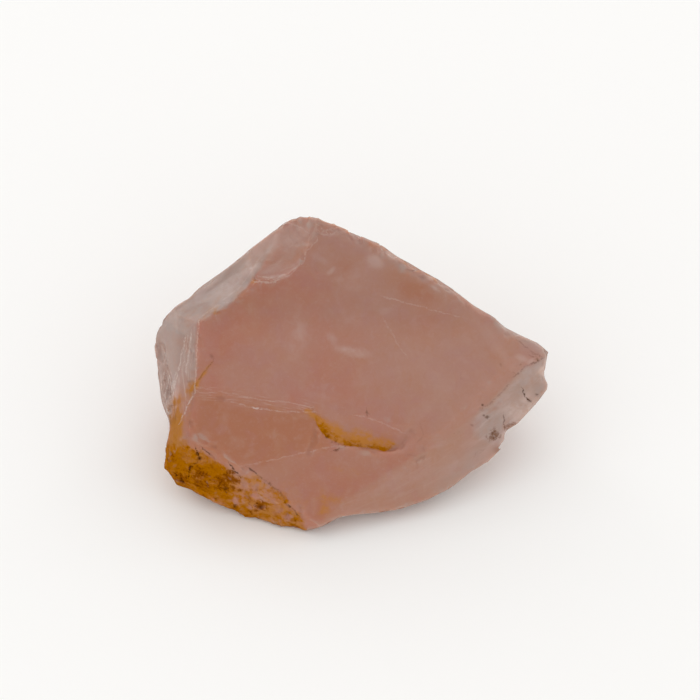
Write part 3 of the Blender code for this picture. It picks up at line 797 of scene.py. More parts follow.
    def shift(self, places: Points) -> Points:
        """Slide ridges and corners across the view by d exp(-r^2 / reach^2).

        Args:
            places: points in metres.
        Returns:
            The shifted points.
        """
        seen = VIEW.seen(places)
        lean = math.radians(VIEW.lean)
        near = smooth(-9.0, -3.0, seen[:, 2])
        slide = np.zeros_like(places)
        for right, up, by_right, by_up, reach in RIDGE_SHIFTS:
            share = near * np.exp(-((seen[:, 0] - right) ** 2 + (seen[:, 1] - up) ** 2) / reach**2)
            slide += share[:, None] * (by_right, by_up * math.cos(lean), by_up * math.sin(lean))
        return places + slide * MM

    def crease_distance(self, places: Points, flats: Points, fine: Points, hollow: bool) -> Points:
        """Distance of each fine point from the nearest sharp crease of the solid.

        Args:
            places: the solid's corner places.
            flats: corner numbers, three a row.
            fine: points of the fine surface.
            hollow: whether inward creases are meant, not outward ridges.
        Returns:
            Distances in millimetres.
        """
        a, b, c = (places[flats[:, i]] for i in range(3))
        unit = np.cross(b - a, c - a)
        unit /= np.maximum(np.linalg.norm(unit, axis=1, keepdims=True), 1e-20)
        sides = np.concatenate([flats[:, [0, 1]], flats[:, [1, 2]], flats[:, [2, 0]]])
        owner = np.tile(np.arange(len(flats)), 3)
        order = np.lexsort(np.sort(sides, axis=1).T[::-1])
        pairs = np.sort(sides, axis=1)[order].reshape(-1, 2, 2)
        beside = owner[order].reshape(-1, 2)
        turn = (unit[beside[:, 0]] * unit[beside[:, 1]]).sum(1)
        apart = places[pairs[:, 0, 0]] - places[pairs[:, 0, 1]]
        middle = places[flats].mean(1)
        out = (unit[beside[:, 0]] * (middle[beside[:, 1]] - middle[beside[:, 0]])).sum(1)
        sharp = (turn < math.cos(math.radians(self.ridge_turn))) & ((out > 0.0) == hollow)
        sharp &= np.linalg.norm(apart, axis=1) > 0.1 * MM
        start, end = places[pairs[sharp, 0, 0]], places[pairs[sharp, 0, 1]]
        LOG.info("%s: %d stretches", "hollow creases" if hollow else "sharp ridges", len(start))
        run = end - start
        length = (run * run).sum(1)
        best = np.full(len(fine), np.inf)
        for low in range(0, len(fine), self.block):
            offset = fine[low:low + self.block, None] - start[None]
            share = np.clip((offset * run).sum(2) / length, 0.0, 1.0)
            away = offset - share[..., None] * run
            best[low:low + self.block] = np.sqrt((away * away).sum(2).min(1))
        return best / MM

    def ripples(self, floor: Points, seen: Points) -> Points:
        """Rings that fan out over the shell-shaped scars, patchy on the hidden side.

        Args:
            floor: places over the floor in millimetres.
            seen: the same as right, up and near.
        Returns:
            Heights in millimetres.
        """
        wobble = 0.9 * Noise.WOBBLE.value.over(floor)
        patchy = smooth(-0.25, 0.35, Noise.RING_PATCH.value.over(floor))
        front = sum(facet.value.cover(seen, 1.0) * fan.rings(seen, wobble) for facet, fan in FRONT_FANS)
        back = sum(fan.rings(floor, wobble) for fan in BACK_FANS)
        return self.ring_height * (front + smooth(-2.0, -9.0, seen[:, 2]) * patchy * back)

    def bites(self, floor: Points, seen: Points, ridge: Points) -> Points:
        """Chips out of the ridges and scallops along the upper right edge.

        Args:
            floor: places over the floor in millimetres.
            seen: the same as right, up and near.
            ridge: distance from the nearest sharp ridge in millimetres.
        Returns:
            Depths in millimetres.
        """
        chip = smooth(0.02, 0.38, Noise.CHIP.value.over(floor))
        scallop = smooth(0.0, 0.30, Noise.SCALLOP.value.over(floor))
        scallop *= Trace.BRINK.value.near(seen, 2.0) * smooth(-6.0, -2.0, seen[:, 2])
        return self.chip_depth * chip * smooth(self.chip_width, 0.0, ridge) + self.scallop_depth * scallop

    def relief(self, fine: Points, ridge: Points) -> Points:
        """Height of the fine relief over the bent patches.

        The sum of a slow sway, a fine grain, the scars' rings, a wider sway behind and rough
        crust, less the chips; it fades out at the floor.

        Args:
            fine: places in metres.
            ridge: distance from the nearest sharp ridge in millimetres.
        Returns:
            Heights in millimetres.
        """
        floor, seen = fine / MM, VIEW.seen(fine)
        height = self.sway * Noise.SWAY.value.over(floor) + self.grain * Noise.GRAIN.value.over(floor)
        height += self.ripples(floor, seen)
        behind = smooth(-7.0, -13.0, seen[:, 2])
        height += self.back_sway * behind * Noise.BACK_SWAY.value.over(floor)
        crust = Facet.CRUST.value.cover(seen, 2.0) * smooth(-8.0, -3.0, seen[:, 2])
        height += self.crust_height * crust * Noise.CRUST.value.over(floor)
        height -= self.bites(floor, seen, ridge)
        return height * smooth(0.0, 0.6, floor[:, 2])

    def bulge(self, fine: Points, small: Points, slopes: Points) -> Points:
        """How far each point stands proud of its softened surroundings, in millimetres.

        Args:
            fine: places in metres.
            small: corner numbers, three a row.
            slopes: unit normals.
        Returns:
            Heights, above 0 on ridges and below 0 in hollows.
        """
        soft = self.soften(fine, small, np.ones(len(fine)), 0, self.bulge_rounds)
        return ((fine - soft) * slopes).sum(axis=1) / MM

    def soft_share(self, fine: Points, hollow: Points) -> Points:
        """How far each point is rounded off: in hollows, on two calm facets and at the spike.

        Args:
            fine: places in metres.
            hollow: distance from the nearest hollow crease in millimetres.
        Returns:
            Shares from 0 to 1, falling to 0 at the floor.
        """
        seen = VIEW.seen(fine)
        calm = Facet.LEFT.value.cover(seen, 1.5) + Facet.CRESCENT.value.cover(seen, 1.5)
        calm *= seen[:, 2] > -8.0
        calm += smooth(1.8, 0.8, np.hypot(seen[:, 0] - self.spike[0], seen[:, 1] - self.spike[1]))
        behind = smooth(-6.0, -12.0, seen[:, 2])
        share = smooth(self.hollow_reach, 0.4, hollow) * (1.0 - 0.75 * behind) + calm
        return np.clip(share, 0.0, 1.0) * smooth(0.2, 2.5, fine[:, 2] / MM)

    def build(self) -> tuple[bpy.types.Object, Survey]:
        """Make the stone's mesh object.

        Returns:
            The object and the survey of its surface.
        """
        places, flats = self.corners()
        fine, small = self.refine(places, flats)
        ridge = self.crease_distance(places, flats, fine, hollow=False)
        hollow = self.crease_distance(places, flats, fine, hollow=True)
        base = fine[:, 2] < 1e-3 * MM
        fine = self.shift(fine)
        share = self.soft_share(fine, hollow)
        fine = self.soften(fine, small, share, self.soft_rounds, self.hollow_rounds)
        fine[:, :2] *= 1.0 - self.foot_tuck * smooth(0.9, 0.1, fine[:, 2] / MM)[:, None]
        relief = self.relief(fine, ridge) * MM
        fine = fine + self.slopes(fine, small) * relief[:, None]
        fine[base, 2] = 0.0
        fine = np.clip(fine, np.array(CAD_BOX[0]), np.array(CAD_BOX[1]))
        mesh = bpy.data.meshes.new("rose_quartz_stone")
        mesh.from_pydata(fine, [], small)
        mesh.validate()
        mesh.shade_smooth()
        stone = bpy.data.objects.new("rose_quartz_stone", mesh)
        bpy.context.scene.collection.objects.link(stone)
        LOG.info("stone: %d points, %d triangles", len(fine), len(small))
        slopes = self.slopes(fine, small)
        return stone, Survey(fine, slopes, self.bulge(fine, small, slopes))


@dataclass
class StonePaint:
    """Where the stone is pale, milky, deep pink, stained or cracked, and where highlights and shade are
    painted, kept as attributes.

    Each mask is a sum of shares. A share is a fade over a facet, cloud or line as seen, times the
    side that shows and some noise. Lengths are in millimetres.
    """

    line_reach: float = 0.9
    smear_width: float = 2.3
    smear_taper: float = 0.09
    run_width: float = 3.4

    def smear(self, at: Survey) -> tuple[Points, Points]:
        """Ochre in the crescent hollow: full above its lower edge and thinner further up.

        Args:
            at: the surveyed surface.
        Returns:
            The smear's stain and its crust.
        """
        above = Trace.SMEAR_EDGE.value.side(at.seen + 0.15 * at.drift)[0]
        start = smooth(-6.2, -8.2, at.up + 0.25 * (at.right + 6.0))
        inside = smooth(-0.15, 0.25, above) * smooth(9.2, 6.2, at.right) * start * at.front
        full = self.smear_width - self.smear_taper * np.abs(at.right + 2.0)
        film = 0.62 * smooth(1.8 * full, 0.3 * full, above) + 0.26 * smooth(4.8, 2.0, above)
        stain = inside * film * (1.0 + 0.9 * at.streaky)
        stain += 0.55 * at.front * Trace.SMEAR_TRAIL.value.near(at.seen + 0.3 * at.drift, 1.0)
        stain += 0.12 * at.cover(Facet.CRESCENT)
        crust = inside * smooth(full, 0.2, above) * (1.0 + 0.35 * smooth(1.0, -2.5, at.right))
        return stain, crust * (0.88 + 1.3 * at.streaky)

    def clear_lane(self, at: Survey) -> Points:
        """Lane down the strip that the rust has left clear."""
        return Trace.STRIP_LANE.value.near(at.seen + 0.3 * at.drift, 1.5)

    def strip_run(self, at: Survey) -> tuple[Points, Points]:
        """Rust that has run down beside the strip's ridge and grows towards the crust.

        Args:
            at: the surveyed surface.
        Returns:
            The run's stain and its crust.
        """
        run = Trace.STRIP_RUN.value
        fall = smooth(-1.5, -10.0, at.up)
        beside = smooth(-0.3, 0.5, -Trace.STRIP_RIDGE.value.side(at.seen)[0]) * at.front
        film = run.near(at.seen, self.run_width) * (0.24 + 0.86 * fall) * (1.0 + 0.6 * at.patch)
        slant = 0.42 * at.front * Trace.STRIP_SLANT.value.near(at.seen, 1.7) * (0.9 + at.patch)
        crust = 0.45 * run.near(at.seen, 2.2) * fall * (0.7 + 1.2 * at.patch) * beside
        return film * beside * (1.0 - 0.65 * self.clear_lane(at)) + slant, crust

    def films(self, at: Survey) -> Points:
        """Thin ochre films: in the crack, at the foot, on the ledge and along the shoulder.

        Args:
            at: the surveyed surface.
        Returns:
            Their stain.
        """
        film = 0.6 * Trace.OCHRE_CRACK.value.near(at.seen, 0.8)
        film += 0.58 * Facet.FOOT.value.cover(at.seen + 0.3 * at.drift, 3.0) * (1.0 + 0.5 * at.blotch)
        film += gathered(OCHRE_FILMS, at.seen + 0.5 * at.drift)
        film += 0.16 * Trace.LEDGE_STAIN.value.near(at.seen, 2.4)
        film += 0.42 * Trace.SHOULDER_MARGIN.value.near(at.seen, 1.5) * smooth(-0.3, 0.3, at.patch)
        low = smooth(0.0, -14.0, at.right) * smooth(-14.0, -22.0, at.up)
        return film * at.front + 0.30 * at.soft(Facet.LOWER) * low

    def windows(self, at: Survey) -> Points:
        """Gaps in the crust band where the pink stone shows through.

        Args:
            at: the surveyed surface.
        Returns:
            Share of the gaps.
        """
        window = smooth(0.05, 0.40, Noise.WINDOW.value.over(at.floor)) * smooth(-25.0, -20.0, at.right)
        window = np.maximum(window, 0.8 * Trace.CRUST_TOP.value.near(at.seen + at.drift, 2.6))
        return np.clip(window + gathered(CRUST_WINDOWS, at.seen), 0.0, 1.0)

    def rust(self, at: Survey) -> tuple[Points, Points]:
        """Ochre stain and the darker crust that grows on it, on both sides of the stone.

        Args:
            at: the surveyed surface.
        Returns:
            Stain and crust.
        """
        stain, smear = self.smear(at)
        run, run_crust = self.strip_run(at)
        window = self.windows(at)
        stain = stain + run + self.films(at)
        stain = np.maximum(stain, at.crust * (0.92 + 0.35 * at.blotch - 0.58 * window))
        band = at.crust * np.clip(0.45 + 0.40 * at.crust_end + 0.8 * at.patch, 0.0, 1.0)
        crust = (band + run_crust) * (1.0 - 0.75 * self.clear_lane(at)) + smear + 0.5 * at.crust * at.streaky
        crust *= (1.0 - 0.75 * window) * (1.0 - 0.35 * smooth(-17.0, -13.5, at.up))
        rusted = smooth(-0.10, 0.38, Noise.BACK_RUST.value.over(at.floor)) * at.hidden
        rusted *= smooth(-1.5, -7.0, at.near)
        stain += rusted * (0.20 + 0.8 * at.seam + 0.25 * smooth(0.0, 0.6, at.patch))
        stain += 0.30 * at.chipped * smooth(0.15, -0.25, at.patch)
        crust += rusted * (0.55 * at.seam + 0.15 * smooth(0.1, 0.6, at.patch))
        return stain, crust

    def grime(self, at: Survey) -> Points:
        """Dark dirt: single patches, and streaks in the thick end of the crust.

        Args:
            at: the surveyed surface.
        Returns:
            Share of the dirt.
        """
        patches = gathered(GRIME, at.seen + 0.5 * at.drift) * at.front
        streaks = 0.45 * at.crust * at.crust_end * smooth(0.05, 0.5, at.streaky)
        return patches * (1.0 + 0.8 * at.streaky * at.crust) + streaks

    def veils(self, at: Survey) -> Points:
        """Milky veils, the hidden side's own, and crumbs along the chipped brink.

        Args:
            at: the surveyed surface.
        Returns:
            Share of the veils.
        """
        veil = gathered(VEILS, at.seen) * at.front
        veil += 0.7 * at.hidden * smooth(0.15, 0.5, Noise.BACK_VEIL.value.over(at.floor))
        return veil + 0.9 * at.chipped * smooth(0.05, 0.35, Noise.CRUMB.value.over(at.floor))

    def pale(self, at: Survey) -> Points:
        """Where the stone is thin or bruised, so that its pink goes pale.

        Args:
            at: the surveyed surface.
        Returns:
            Share of the pale stone.
        """
        pale = 0.95 * at.cover(Facet.SHOULDER) + 0.75 * at.cover(Facet.LEFT)
        pale += 0.80 * at.cover(Facet.STRIP) * smooth(-8.0, 3.0, at.up)
        pale += 0.28 * at.cover(Facet.CROWN) * (1.0 + at.patch)
        pale += 0.85 * at.tip * (1.0 - 0.5 * at.tan)
        pale += 0.95 * Trace.HIGH_RIM.value.near(at.seen, 2.3) * at.front
        thin = 0.5 * Trace.LOW_RIM.value.near(at.wandered, 6.0) * smooth(10.0, 22.0, at.right)
        pale += (0.18 + thin) * at.cover(Facet.FLANK)
        pale += 0.25 * at.soft(Facet.UPPER_RIGHT) * smooth(20.0, 31.0, at.right)
        pale += at.worn * (0.45 + 0.9 * at.patch)
        pale += 0.8 * at.hidden * smooth(0.0, 0.5, Noise.BACK_PALE.value.over(at.floor))
        return pale + 0.45 * at.chipped * smooth(-0.2, 0.3, at.patch)

    def glow(self, at: Survey) -> Points:
        """Painted highlights: flakes, the thin tip and the shoulder painted pale, as if they sent light back.

        Args:
            at: the surveyed surface.
        Returns:
            Share of the painted highlight.
        """
        glow = 0.40 * at.tip * (0.8 + 1.2 * at.patch) * (1.0 - at.tan)
        glow += 0.35 * at.cover(Facet.SHOULDER) * smooth(0.0, 0.5, at.patch)
        return glow + gathered(GLEAMS, at.seen + 0.3 * at.drift) * at.front

    def grey(self, at: Survey) -> Points:
        """Where the pink is greyer, from the middle to the upper right."""
        grey = smooth(-4.0, 9.0, 0.6 * at.right + 0.3 * at.up + 4.0 * at.blotch)
        return 0.9 * grey * (1.0 - at.soft(Facet.LOWER))

    def deep(self, at: Survey) -> Points:
        """Where the pink is deeper: on the ledge, in clouds and here and there on the hidden side.

        Args:
            at: the surveyed surface.
        Returns:
            Share of the deeper pink.
        """
        deep = at.soft(Facet.LEDGE) + 0.35 * at.soft(Facet.LOWER)
        deep += gathered(DEEPS, at.wandered) * at.front
        return deep + 0.7 * at.hidden * smooth(0.05, 0.5, Noise.BACK_DEEP.value.over(at.floor))

    def streaks(self, at: Survey) -> Points:
        """Fine streaks that the break has left, facet by facet.

        Args:
            at: the surveyed surface.
        Returns:
            Strength of the streaks.
        """
        streaks = 0.60 * Trace.FRACTURE_BAND.value.near(at.seen, 2.2) * at.front * (0.8 + 0.8 * at.patch)
        streaks += sum(strength * at.cover(facet) for facet, strength in STREAK_STRENGTH)
        streaks += at.cover(Facet.LEFT) * LEFT_HACKLES.cover(at.seen)
        return streaks + 0.30 * at.soft(Facet.THIN_TIP)

    def dim(self, at: Survey) -> Points:
        """How much less light reaches the faces that lean away.

        Args:
            at: the surveyed surface.
        Returns:
            Share of the shade.
        """
        dim = 0.38 * smooth(6.0, 13.0, at.up + 2.0 * at.blotch) + at.cover(Facet.LEFT)
        dim += 0.52 * at.cover(Facet.STRIP) + 0.32 * at.cover(Facet.SHOULDER)
        dim -= 0.18 * at.cover(Facet.CROWN) * smooth(17.5, 21.0, at.up)
        return (dim - SHOULDER_SHEEN.cover(at.seen)) * at.front

    def outline(self, at: Survey) -> Points:
        """Painted shade: a thin dark line where ridges turn away from the view and along the base by the
        floor, and a dark patch under the notch.

        Args:
            at: the surveyed surface.
        Returns:
            Share of the painted shade.
        """
        turning = smooth(0.45, 0.12, at.turned) * smooth(-0.30, -0.03, at.turned)
        ridges = turning * (0.45 + 0.55 * smooth(0.015, 0.07, at.bulge))
        base = 0.5 * smooth(0.9, 0.3, at.floor[:, 2])
        return np.maximum(np.maximum(ridges, NOTCH_DARK.cover(at.seen)), base)

    def specks(self, at: Survey) -> Points:
        """Single dark specks, round and soft at the edge."""
        return sum(smooth(r, 0.35 * r, np.hypot(at.right - x, at.up - y)) for x, y, r in SPECKS) * at.front

    def lines(self, at: Survey, lines: tuple[tuple[Line, float], ...]) -> tuple[Points, Points]:
        """Signed distance from the nearest of several lines, and how strongly it shows.

        A signed distance stays sharp between points that are wider apart than the line.

        Args:
            at: the surveyed surface.
            lines: lines with their strengths.
        Returns:
            Signed distances in millimetres and strengths.
        """
        best = np.full(len(at.seen), 9.0)
        signed = best.copy()
        strength = np.zeros(len(at.seen))
        for line, shows in lines:
            side, distance = line.side(at.seen)
            closer = distance < best
            best = np.where(closer, distance, best)
            signed = np.where(closer, side, signed)
            strength = np.where(closer, shows, strength)
        return np.clip(signed, -2.0, 2.0), strength * smooth(self.line_reach, 0.45, best) * at.front

    def masks(self, at: Survey) -> dict[str, Points]:
        """Work out every mask of the surface.

        Args:
            at: the surveyed surface.
        Returns:
            Attribute name to one number a place.
        """
        stain, crust = self.rust(at)
        line_side, line = self.lines(at, FRACTURE_LINES)
        dirt_side, dirt = self.lines(at, DIRT_LINES)
        masks = {
            "glow": self.glow(at), "pale": self.pale(at), "grey": self.grey(at), "deep": self.deep(at),
            "veil": self.veils(at), "stain": stain, "crust": crust, "grime": self.grime(at),
            "streaks": self.streaks(at), "dim": self.dim(at), "outline": self.outline(at),
            "warm": 0.8 * at.cover(Facet.FLANK), "line": line, "dirt": dirt, "speck": self.specks(at),
            "edge": at.worn, "seam": at.hidden * at.seam,
        }
        masks = {name: np.clip(value, 0.0, 1.0) for name, value in masks.items()}
        return masks | {"line_side": line_side, "dirt_side": dirt_side}

    def flow(self, seen: Points) -> Points:
        """Places along and across the fine streaks, facet by facet.

        Args:
            seen: points as seen.
        Returns:
            Three numbers a place.
        """
        flow = SWEEPS[0][1].flow(seen)
        for facet, sweep in SWEEPS[1:]:
            inside = facet.value.depth(seen) > 0.0
            flow[inside] = sweep.flow(seen[inside])
        return flow

    def apply(self, stone: bpy.types.Object, at: Survey) -> tuple[str, ...]:
        """Keep each mask and the streaks' flow on the mesh.

        Args:
            stone: the stone.
            at: its surveyed surface.
        Returns:
            The masks' names.
        """
        attribute = stone.data.attributes.new("flow", "FLOAT_VECTOR", "POINT")
        attribute.data.foreach_set("vector", self.flow(at.seen).astype(np.float32).reshape(-1))
        masks = self.masks(at)
        for name, values in masks.items():
            attribute = stone.data.attributes.new(name, "FLOAT", "POINT")
            attribute.data.foreach_set("value", np.ascontiguousarray(values, dtype=np.float32))
        return tuple(masks)


def linear(colour: str) -> tuple[float, float, float, float]:
    """Turn an sRGB hex colour into linear light: ((c + 0.055) / 1.055)^2.4 above 0.04045.

    Args:
        colour: six hex digits after a hash.
    Returns:
        Linear red, green, blue and an alpha of 1.
    """
    parts = [int(colour[i:i + 2], 16) / 255.0 for i in (1, 3, 5)]
    bright = [c / 12.92 if c <= 0.04045 else ((c + 0.055) / 1.055) ** 2.4 for c in parts]
    return bright[0], bright[1], bright[2], 1.0


def per_metre(millimetres: float) -> float:
    """Texture scale whose features are so many millimetres wide."""
    return 1.0 / (millimetres * MM)


class Sheet:
    """A material's node tree."""

    def __init__(self, name: str) -> None:
        """Start an empty tree.

        Args:
            name: the material's name.
        """
        self.material = bpy.data.materials.new(name)
        self.material.use_nodes = True
        self.tree = self.material.node_tree
        self.tree.nodes.clear()

    def add(
        self, kind: str, inputs: dict | None = None, output: int = 0, **settings: object
    ) -> Socket | None:
        """Add a node with its settings, and set or link its inputs.

        Args:
            kind: Blender's name of the node.
            inputs: socket name or number to a value, or to the socket that feeds it.
            output: number of the output that is wanted.
            settings: property name to value.
        Returns:
            The wanted output, where the node has one.
        """
        node = self.tree.nodes.new(kind)
        for name, value in settings.items():
            setattr(node, name, value)
        for name, value in (inputs or {}).items():
            if isinstance(value, Socket):
                self.tree.links.new(value, node.inputs[name])
            else:
                node.inputs[name].default_value = value
        return node.outputs[output] if len(node.outputs) else None


class Tint(Enum):
    """The stone's colours: its own pinks, milky quartz, iron oxides and dirt, some of which also serve for
    painted highlights and shade, and black for painted shade.
    """

    ROSE = "#ab725e"
    ROSE_GREY = "#aa7f6e"
    ROSE_DEEP = "#a76d50"
    ROSE_WARM = "#ab7a5c"
    ROSE_COOL = "#a4747a"
    THIN_PALE = "#a48f86"
    MILK = "#b39084"
    HAIRLINE_AND_HIGHLIGHT = "#c2aaa0"
    OCHRE = "#b07539"
    AMBER = "#a5661c"
    RUST = "#a56300"
    DARK_RUST = "#4a2203"
    GRIME = "#7c3f00"
    SMUDGE_AND_SHADE = "#74492c"
    SHADE = "#000000"


@dataclass(frozen=True)
class Span:
    """A smooth map: what lies from low to high becomes bottom to top."""

    low: float = 0.0
    high: float = 1.0
    bottom: float = 0.0
    top: float = 1.0


@dataclass(frozen=True)
class Layer:
    """A colour over those below it, as far as a mask and a noise's span let it show.

    Without a noise, the span's top alone scales the mask.
    """

    tint: Tint
    mask: str | None
    noise: str | None
    span: Span


# The clear stone, from the bottom up: clouded pinks, thin places, milky haze and streaks.
STONE_LAYERS: tuple[Layer, ...] = (
    Layer(Tint.ROSE_GREY, None, "cloud", Span(0.36, 0.66, 0.0, 0.60)),
    Layer(Tint.ROSE_GREY, "grey", None, Span()),
    Layer(Tint.ROSE_DEEP, "deep", None, Span()),
    Layer(Tint.ROSE_WARM, "warm", None, Span(top=0.5)),
    Layer(Tint.THIN_PALE, "pale", "wisp", Span(0.30, 0.55, 0.70, 1.0)),
    # Painted highlights: flakes, the thin tip and the shoulder painted pale.
    Layer(Tint.HAIRLINE_AND_HIGHLIGHT, "glow", "wisp", Span(0.35, 0.62, 0.30, 0.90)),
    Layer(Tint.MILK, None, "wisp", Span(0.50, 0.72, 0.0, 0.14)),
    Layer(Tint.ROSE_WARM, None, "tinge", Span(0.50, 0.66, 0.0, 0.20)),
    Layer(Tint.ROSE_COOL, None, "tinge", Span(0.48, 0.34, 0.0, 0.12)),
    Layer(Tint.MILK, None, "mottle", Span(0.50, 0.70, 0.0, 0.17)),
    Layer(Tint.ROSE_DEEP, None, "mottle", Span(0.48, 0.30, 0.0, 0.20)),
    Layer(Tint.MILK, None, "grain", Span(0.50, 0.75, 0.0, 0.14)),
    Layer(Tint.MILK, "veil", "wisp", Span(0.34, 0.60, 0.30, 0.90)),
    Layer(Tint.HAIRLINE_AND_HIGHLIGHT, "streaks", "streak", Span(0.50, 0.72, 0.0, 0.75)),
    Layer(Tint.ROSE_DEEP, "streaks", "streak", Span(0.46, 0.30, 0.0, 0.35)),
)

# What lies over the rust: specks, chalky ridges, painted shade in the hidden side's hollows, a painted dark
# outline and painted shade.
TOP_LAYERS: tuple[Layer, ...] = (
    Layer(Tint.DARK_RUST, "speck", "rough", Span(0.35, 0.50, 0.40, 0.75)),
    Layer(Tint.THIN_PALE, "edge", "rough", Span(0.45, 0.62, 0.0, 0.40)),
    # Painted shade: deeper pink in the hidden side's hollows.
    Layer(Tint.ROSE_DEEP, "seam", None, Span(top=0.35)),
    # Painted shade: dark outline where ridges turn from the view, along the base and under the notch.
    Layer(Tint.SMUDGE_AND_SHADE, "outline", "rough", Span(0.35, 0.60, 0.45, 0.80)),
    Layer(Tint.SHADE, "dim", None, Span(top=0.20)),
)


@dataclass(frozen=True)
class Grain:
    """One noise of the stone: width of its features, layers, their gain and how it is warped.

    The width is in millimetres, or in streak widths where the noise follows the streaks' flow.
    """

    width: float
    layers: float
    gain: float
    warp: float
    flows: bool = False


GRAINS: dict[str, Grain] = {
    "cloud": Grain(9.0, 3.0, 0.5, 0.3),
    "wisp": Grain(3.0, 5.0, 0.62, 0.25),
    "grain": Grain(0.55, 3.0, 0.6, 0.0),
    "rough": Grain(1.5, 5.0, 0.62, 0.3),
    "fleck": Grain(0.8, 5.0, 0.7, 0.6),
    "mottle": Grain(2.4, 4.0, 0.65, 0.4),
    "tinge": Grain(5.0, 3.0, 0.6, 0.5),
    "streak": Grain(1.0, 4.0, 0.6, 0.15, flows=True),
}


@dataclass(frozen=True)
class RoseQuartz:
    """Massive rose quartz, broken by a hammer and never polished.

    Quartz breaks glassy, but fine haze inside scatters the light, so the eye sees a soft, cloudy
    pink that hardly shades, paler where it is thin, with rust-brown iron oxide in its cracks.
    The oxide is matt. The coat carries the gloss, so that it can be left off where rust lies.
    """

    refraction: float = 1.54
    coat_refraction: float = 1.45
    coat_roughness: float = 0.16
    roughness: float = 0.38
    scatter_mm: float = 2.6
    scatter_spread: tuple[float, float, float] = (1.0, 0.80, 0.70)
    line_width: float = 0.20
    crack_width: float = 0.22

    def share(self, sheet: Sheet, mask: Feed, source: Feed | None, span: Span) -> Socket:
        """Mask times a source that is mapped through a span, or times the span's top alone.

        Args:
            sheet: the material's tree.
            mask: number or socket.
            source: socket that the span maps, if any.
            span: the smooth map.
        Returns:
            Socket of the product.
        """
        field = span.top
        if source is not None:
            limits = {0: source, 1: span.low, 2: span.high, 3: span.bottom, 4: span.top}
            field = sheet.add("ShaderNodeMapRange", limits, interpolation_type="SMOOTHSTEP")
        return sheet.add("ShaderNodeMath", {0: mask, 1: field}, operation="MULTIPLY")

    def ragged(self, sheet: Sheet, mask: Socket, fray: Socket, span: Span, gate: Span) -> Socket:
        """Mask with a frayed edge: mask plus noise through a span, kept to where the mask is.

        Args:
            sheet: the material's tree.
            mask: the mask.
            fray: noise that frays it.
            span: map of the frayed mask.
            gate: map of the mask itself, which holds the fraying back outside it.
        Returns:
            Socket of the frayed mask.
        """
        frayed = sheet.add("ShaderNodeMath", {0: mask, 1: fray}, operation="ADD")
        return self.share(sheet, self.share(sheet, 1.0, mask, gate), frayed, span)

    def over(self, sheet: Sheet, under: Feed, tint: Tint, share: Feed) -> Socket:
        """Lay one of the stone's tints over a colour."""
        inputs = {0: share, 6: under, 7: linear(tint.value)}
        return sheet.add("ShaderNodeMix", inputs, 2, data_type="RGBA")

    def laid(self, sheet: Sheet, colour: Feed, layers: tuple[Layer, ...], feeds: dict[str, Socket]) -> Socket:
        """Lay a list of layers over a colour.

        Args:
            sheet: the material's tree.
            colour: what lies below.
            layers: the layers from the bottom up.
            feeds: masks and noises by name.
        Returns:
            Socket of the colour.
        """
        for layer in layers:
            mask = feeds[layer.mask] if layer.mask else 1.0
            share = self.share(sheet, mask, feeds.get(layer.noise), layer.span)
            colour = self.over(sheet, colour, layer.tint, share)
        return colour

    def feeds(self, sheet: Sheet, masks: tuple[str, ...]) -> dict[str, Socket]:
        """Read the masks and set up the noises.

        Args:
            sheet: the material's tree.
            masks: the masks' names.
        Returns:
            Name to socket.
        """
        feeds = {name: sheet.add("ShaderNodeAttribute", None, 2, attribute_name=name) for name in masks}
        place = sheet.add("ShaderNodeTexCoord", None, 3)
        flow = sheet.add("ShaderNodeAttribute", None, 1, attribute_name="flow")
        for name, grain in GRAINS.items():
            scale = 1.0 / grain.width if grain.flows else per_metre(grain.width)
            feeds[name] = sheet.add("ShaderNodeTexNoise", {
                "Vector": flow if grain.flows else place, "Scale": scale, "Detail": grain.layers,
                "Roughness": grain.gain, "Distortion": grain.warp,
            })
        return feeds

    def rusted(self, sheet: Sheet, colour: Socket, feeds: dict[str, Socket]) -> tuple[Socket, Socket]:
        """Lay ochre stain, amber and rusty crust, dark clots, dirt and pits over the stone.

        Args:
            sheet: the material's tree.
            colour: what lies below.
            feeds: masks and noises by name.
        Returns:
            Sockets of the colour and of how soiled each place is.
        """
        stain_mask, crust_mask, grime_mask = feeds["stain"], feeds["crust"], feeds["grime"]
        fray = self.share(sheet, 1.0, feeds["rough"], Span(0.2, 0.8, -0.30, 0.30))
        stain = self.ragged(sheet, stain_mask, fray, Span(0.05, 1.0), Span(0.02, 0.25))
        colour = self.over(sheet, colour, Tint.OCHRE, stain)
        amber = self.share(sheet, 1.0, crust_mask, Span(0.10, 0.70, 0.0, 0.65))
        colour = self.over(sheet, colour, Tint.AMBER, amber)
        coarse = self.share(sheet, 1.0, feeds["rough"], Span(0.3, 0.7, -0.30, 0.30))
        small = self.share(sheet, 1.0, feeds["fleck"], Span(0.3, 0.7, -0.35, 0.35))
        flecks = sheet.add("ShaderNodeMath", {0: coarse, 1: small}, operation="ADD")
        crumb = self.ragged(sheet, crust_mask, flecks, Span(0.15, 0.85), Span(0.02, 0.25))
        colour = self.over(sheet, colour, Tint.RUST, crumb)
        clot = self.share(sheet, crust_mask, feeds["rough"], Span(0.47, 0.36, 0.0, 0.5))
        colour = self.over(sheet, colour, Tint.GRIME, clot)
        rusty = self.share(sheet, 1.0, stain_mask, Span(0.1, 0.5))
        dirt = self.over(sheet, linear(Tint.SMUDGE_AND_SHADE.value), Tint.GRIME, rusty)
        soot = self.ragged(sheet, grime_mask, flecks, Span(0.15, 1.05, 0.0, 0.85), Span(0.03, 0.30))
        colour = sheet.add("ShaderNodeMix", {0: soot, 6: colour, 7: dirt}, 2, data_type="RGBA")
        inputs = {0: crust_mask, 1: 0.4, 2: grime_mask}
        pitted = sheet.add("ShaderNodeMath", inputs, operation="MULTIPLY_ADD")
        pit = self.share(sheet, pitted, feeds["fleck"], Span(0.52, 0.64, 0.0, 0.5))
        colour = self.over(sheet, colour, Tint.DARK_RUST, pit)
        return colour, sheet.add("ShaderNodeMath", {0: stain, 1: crumb}, operation="MAXIMUM")

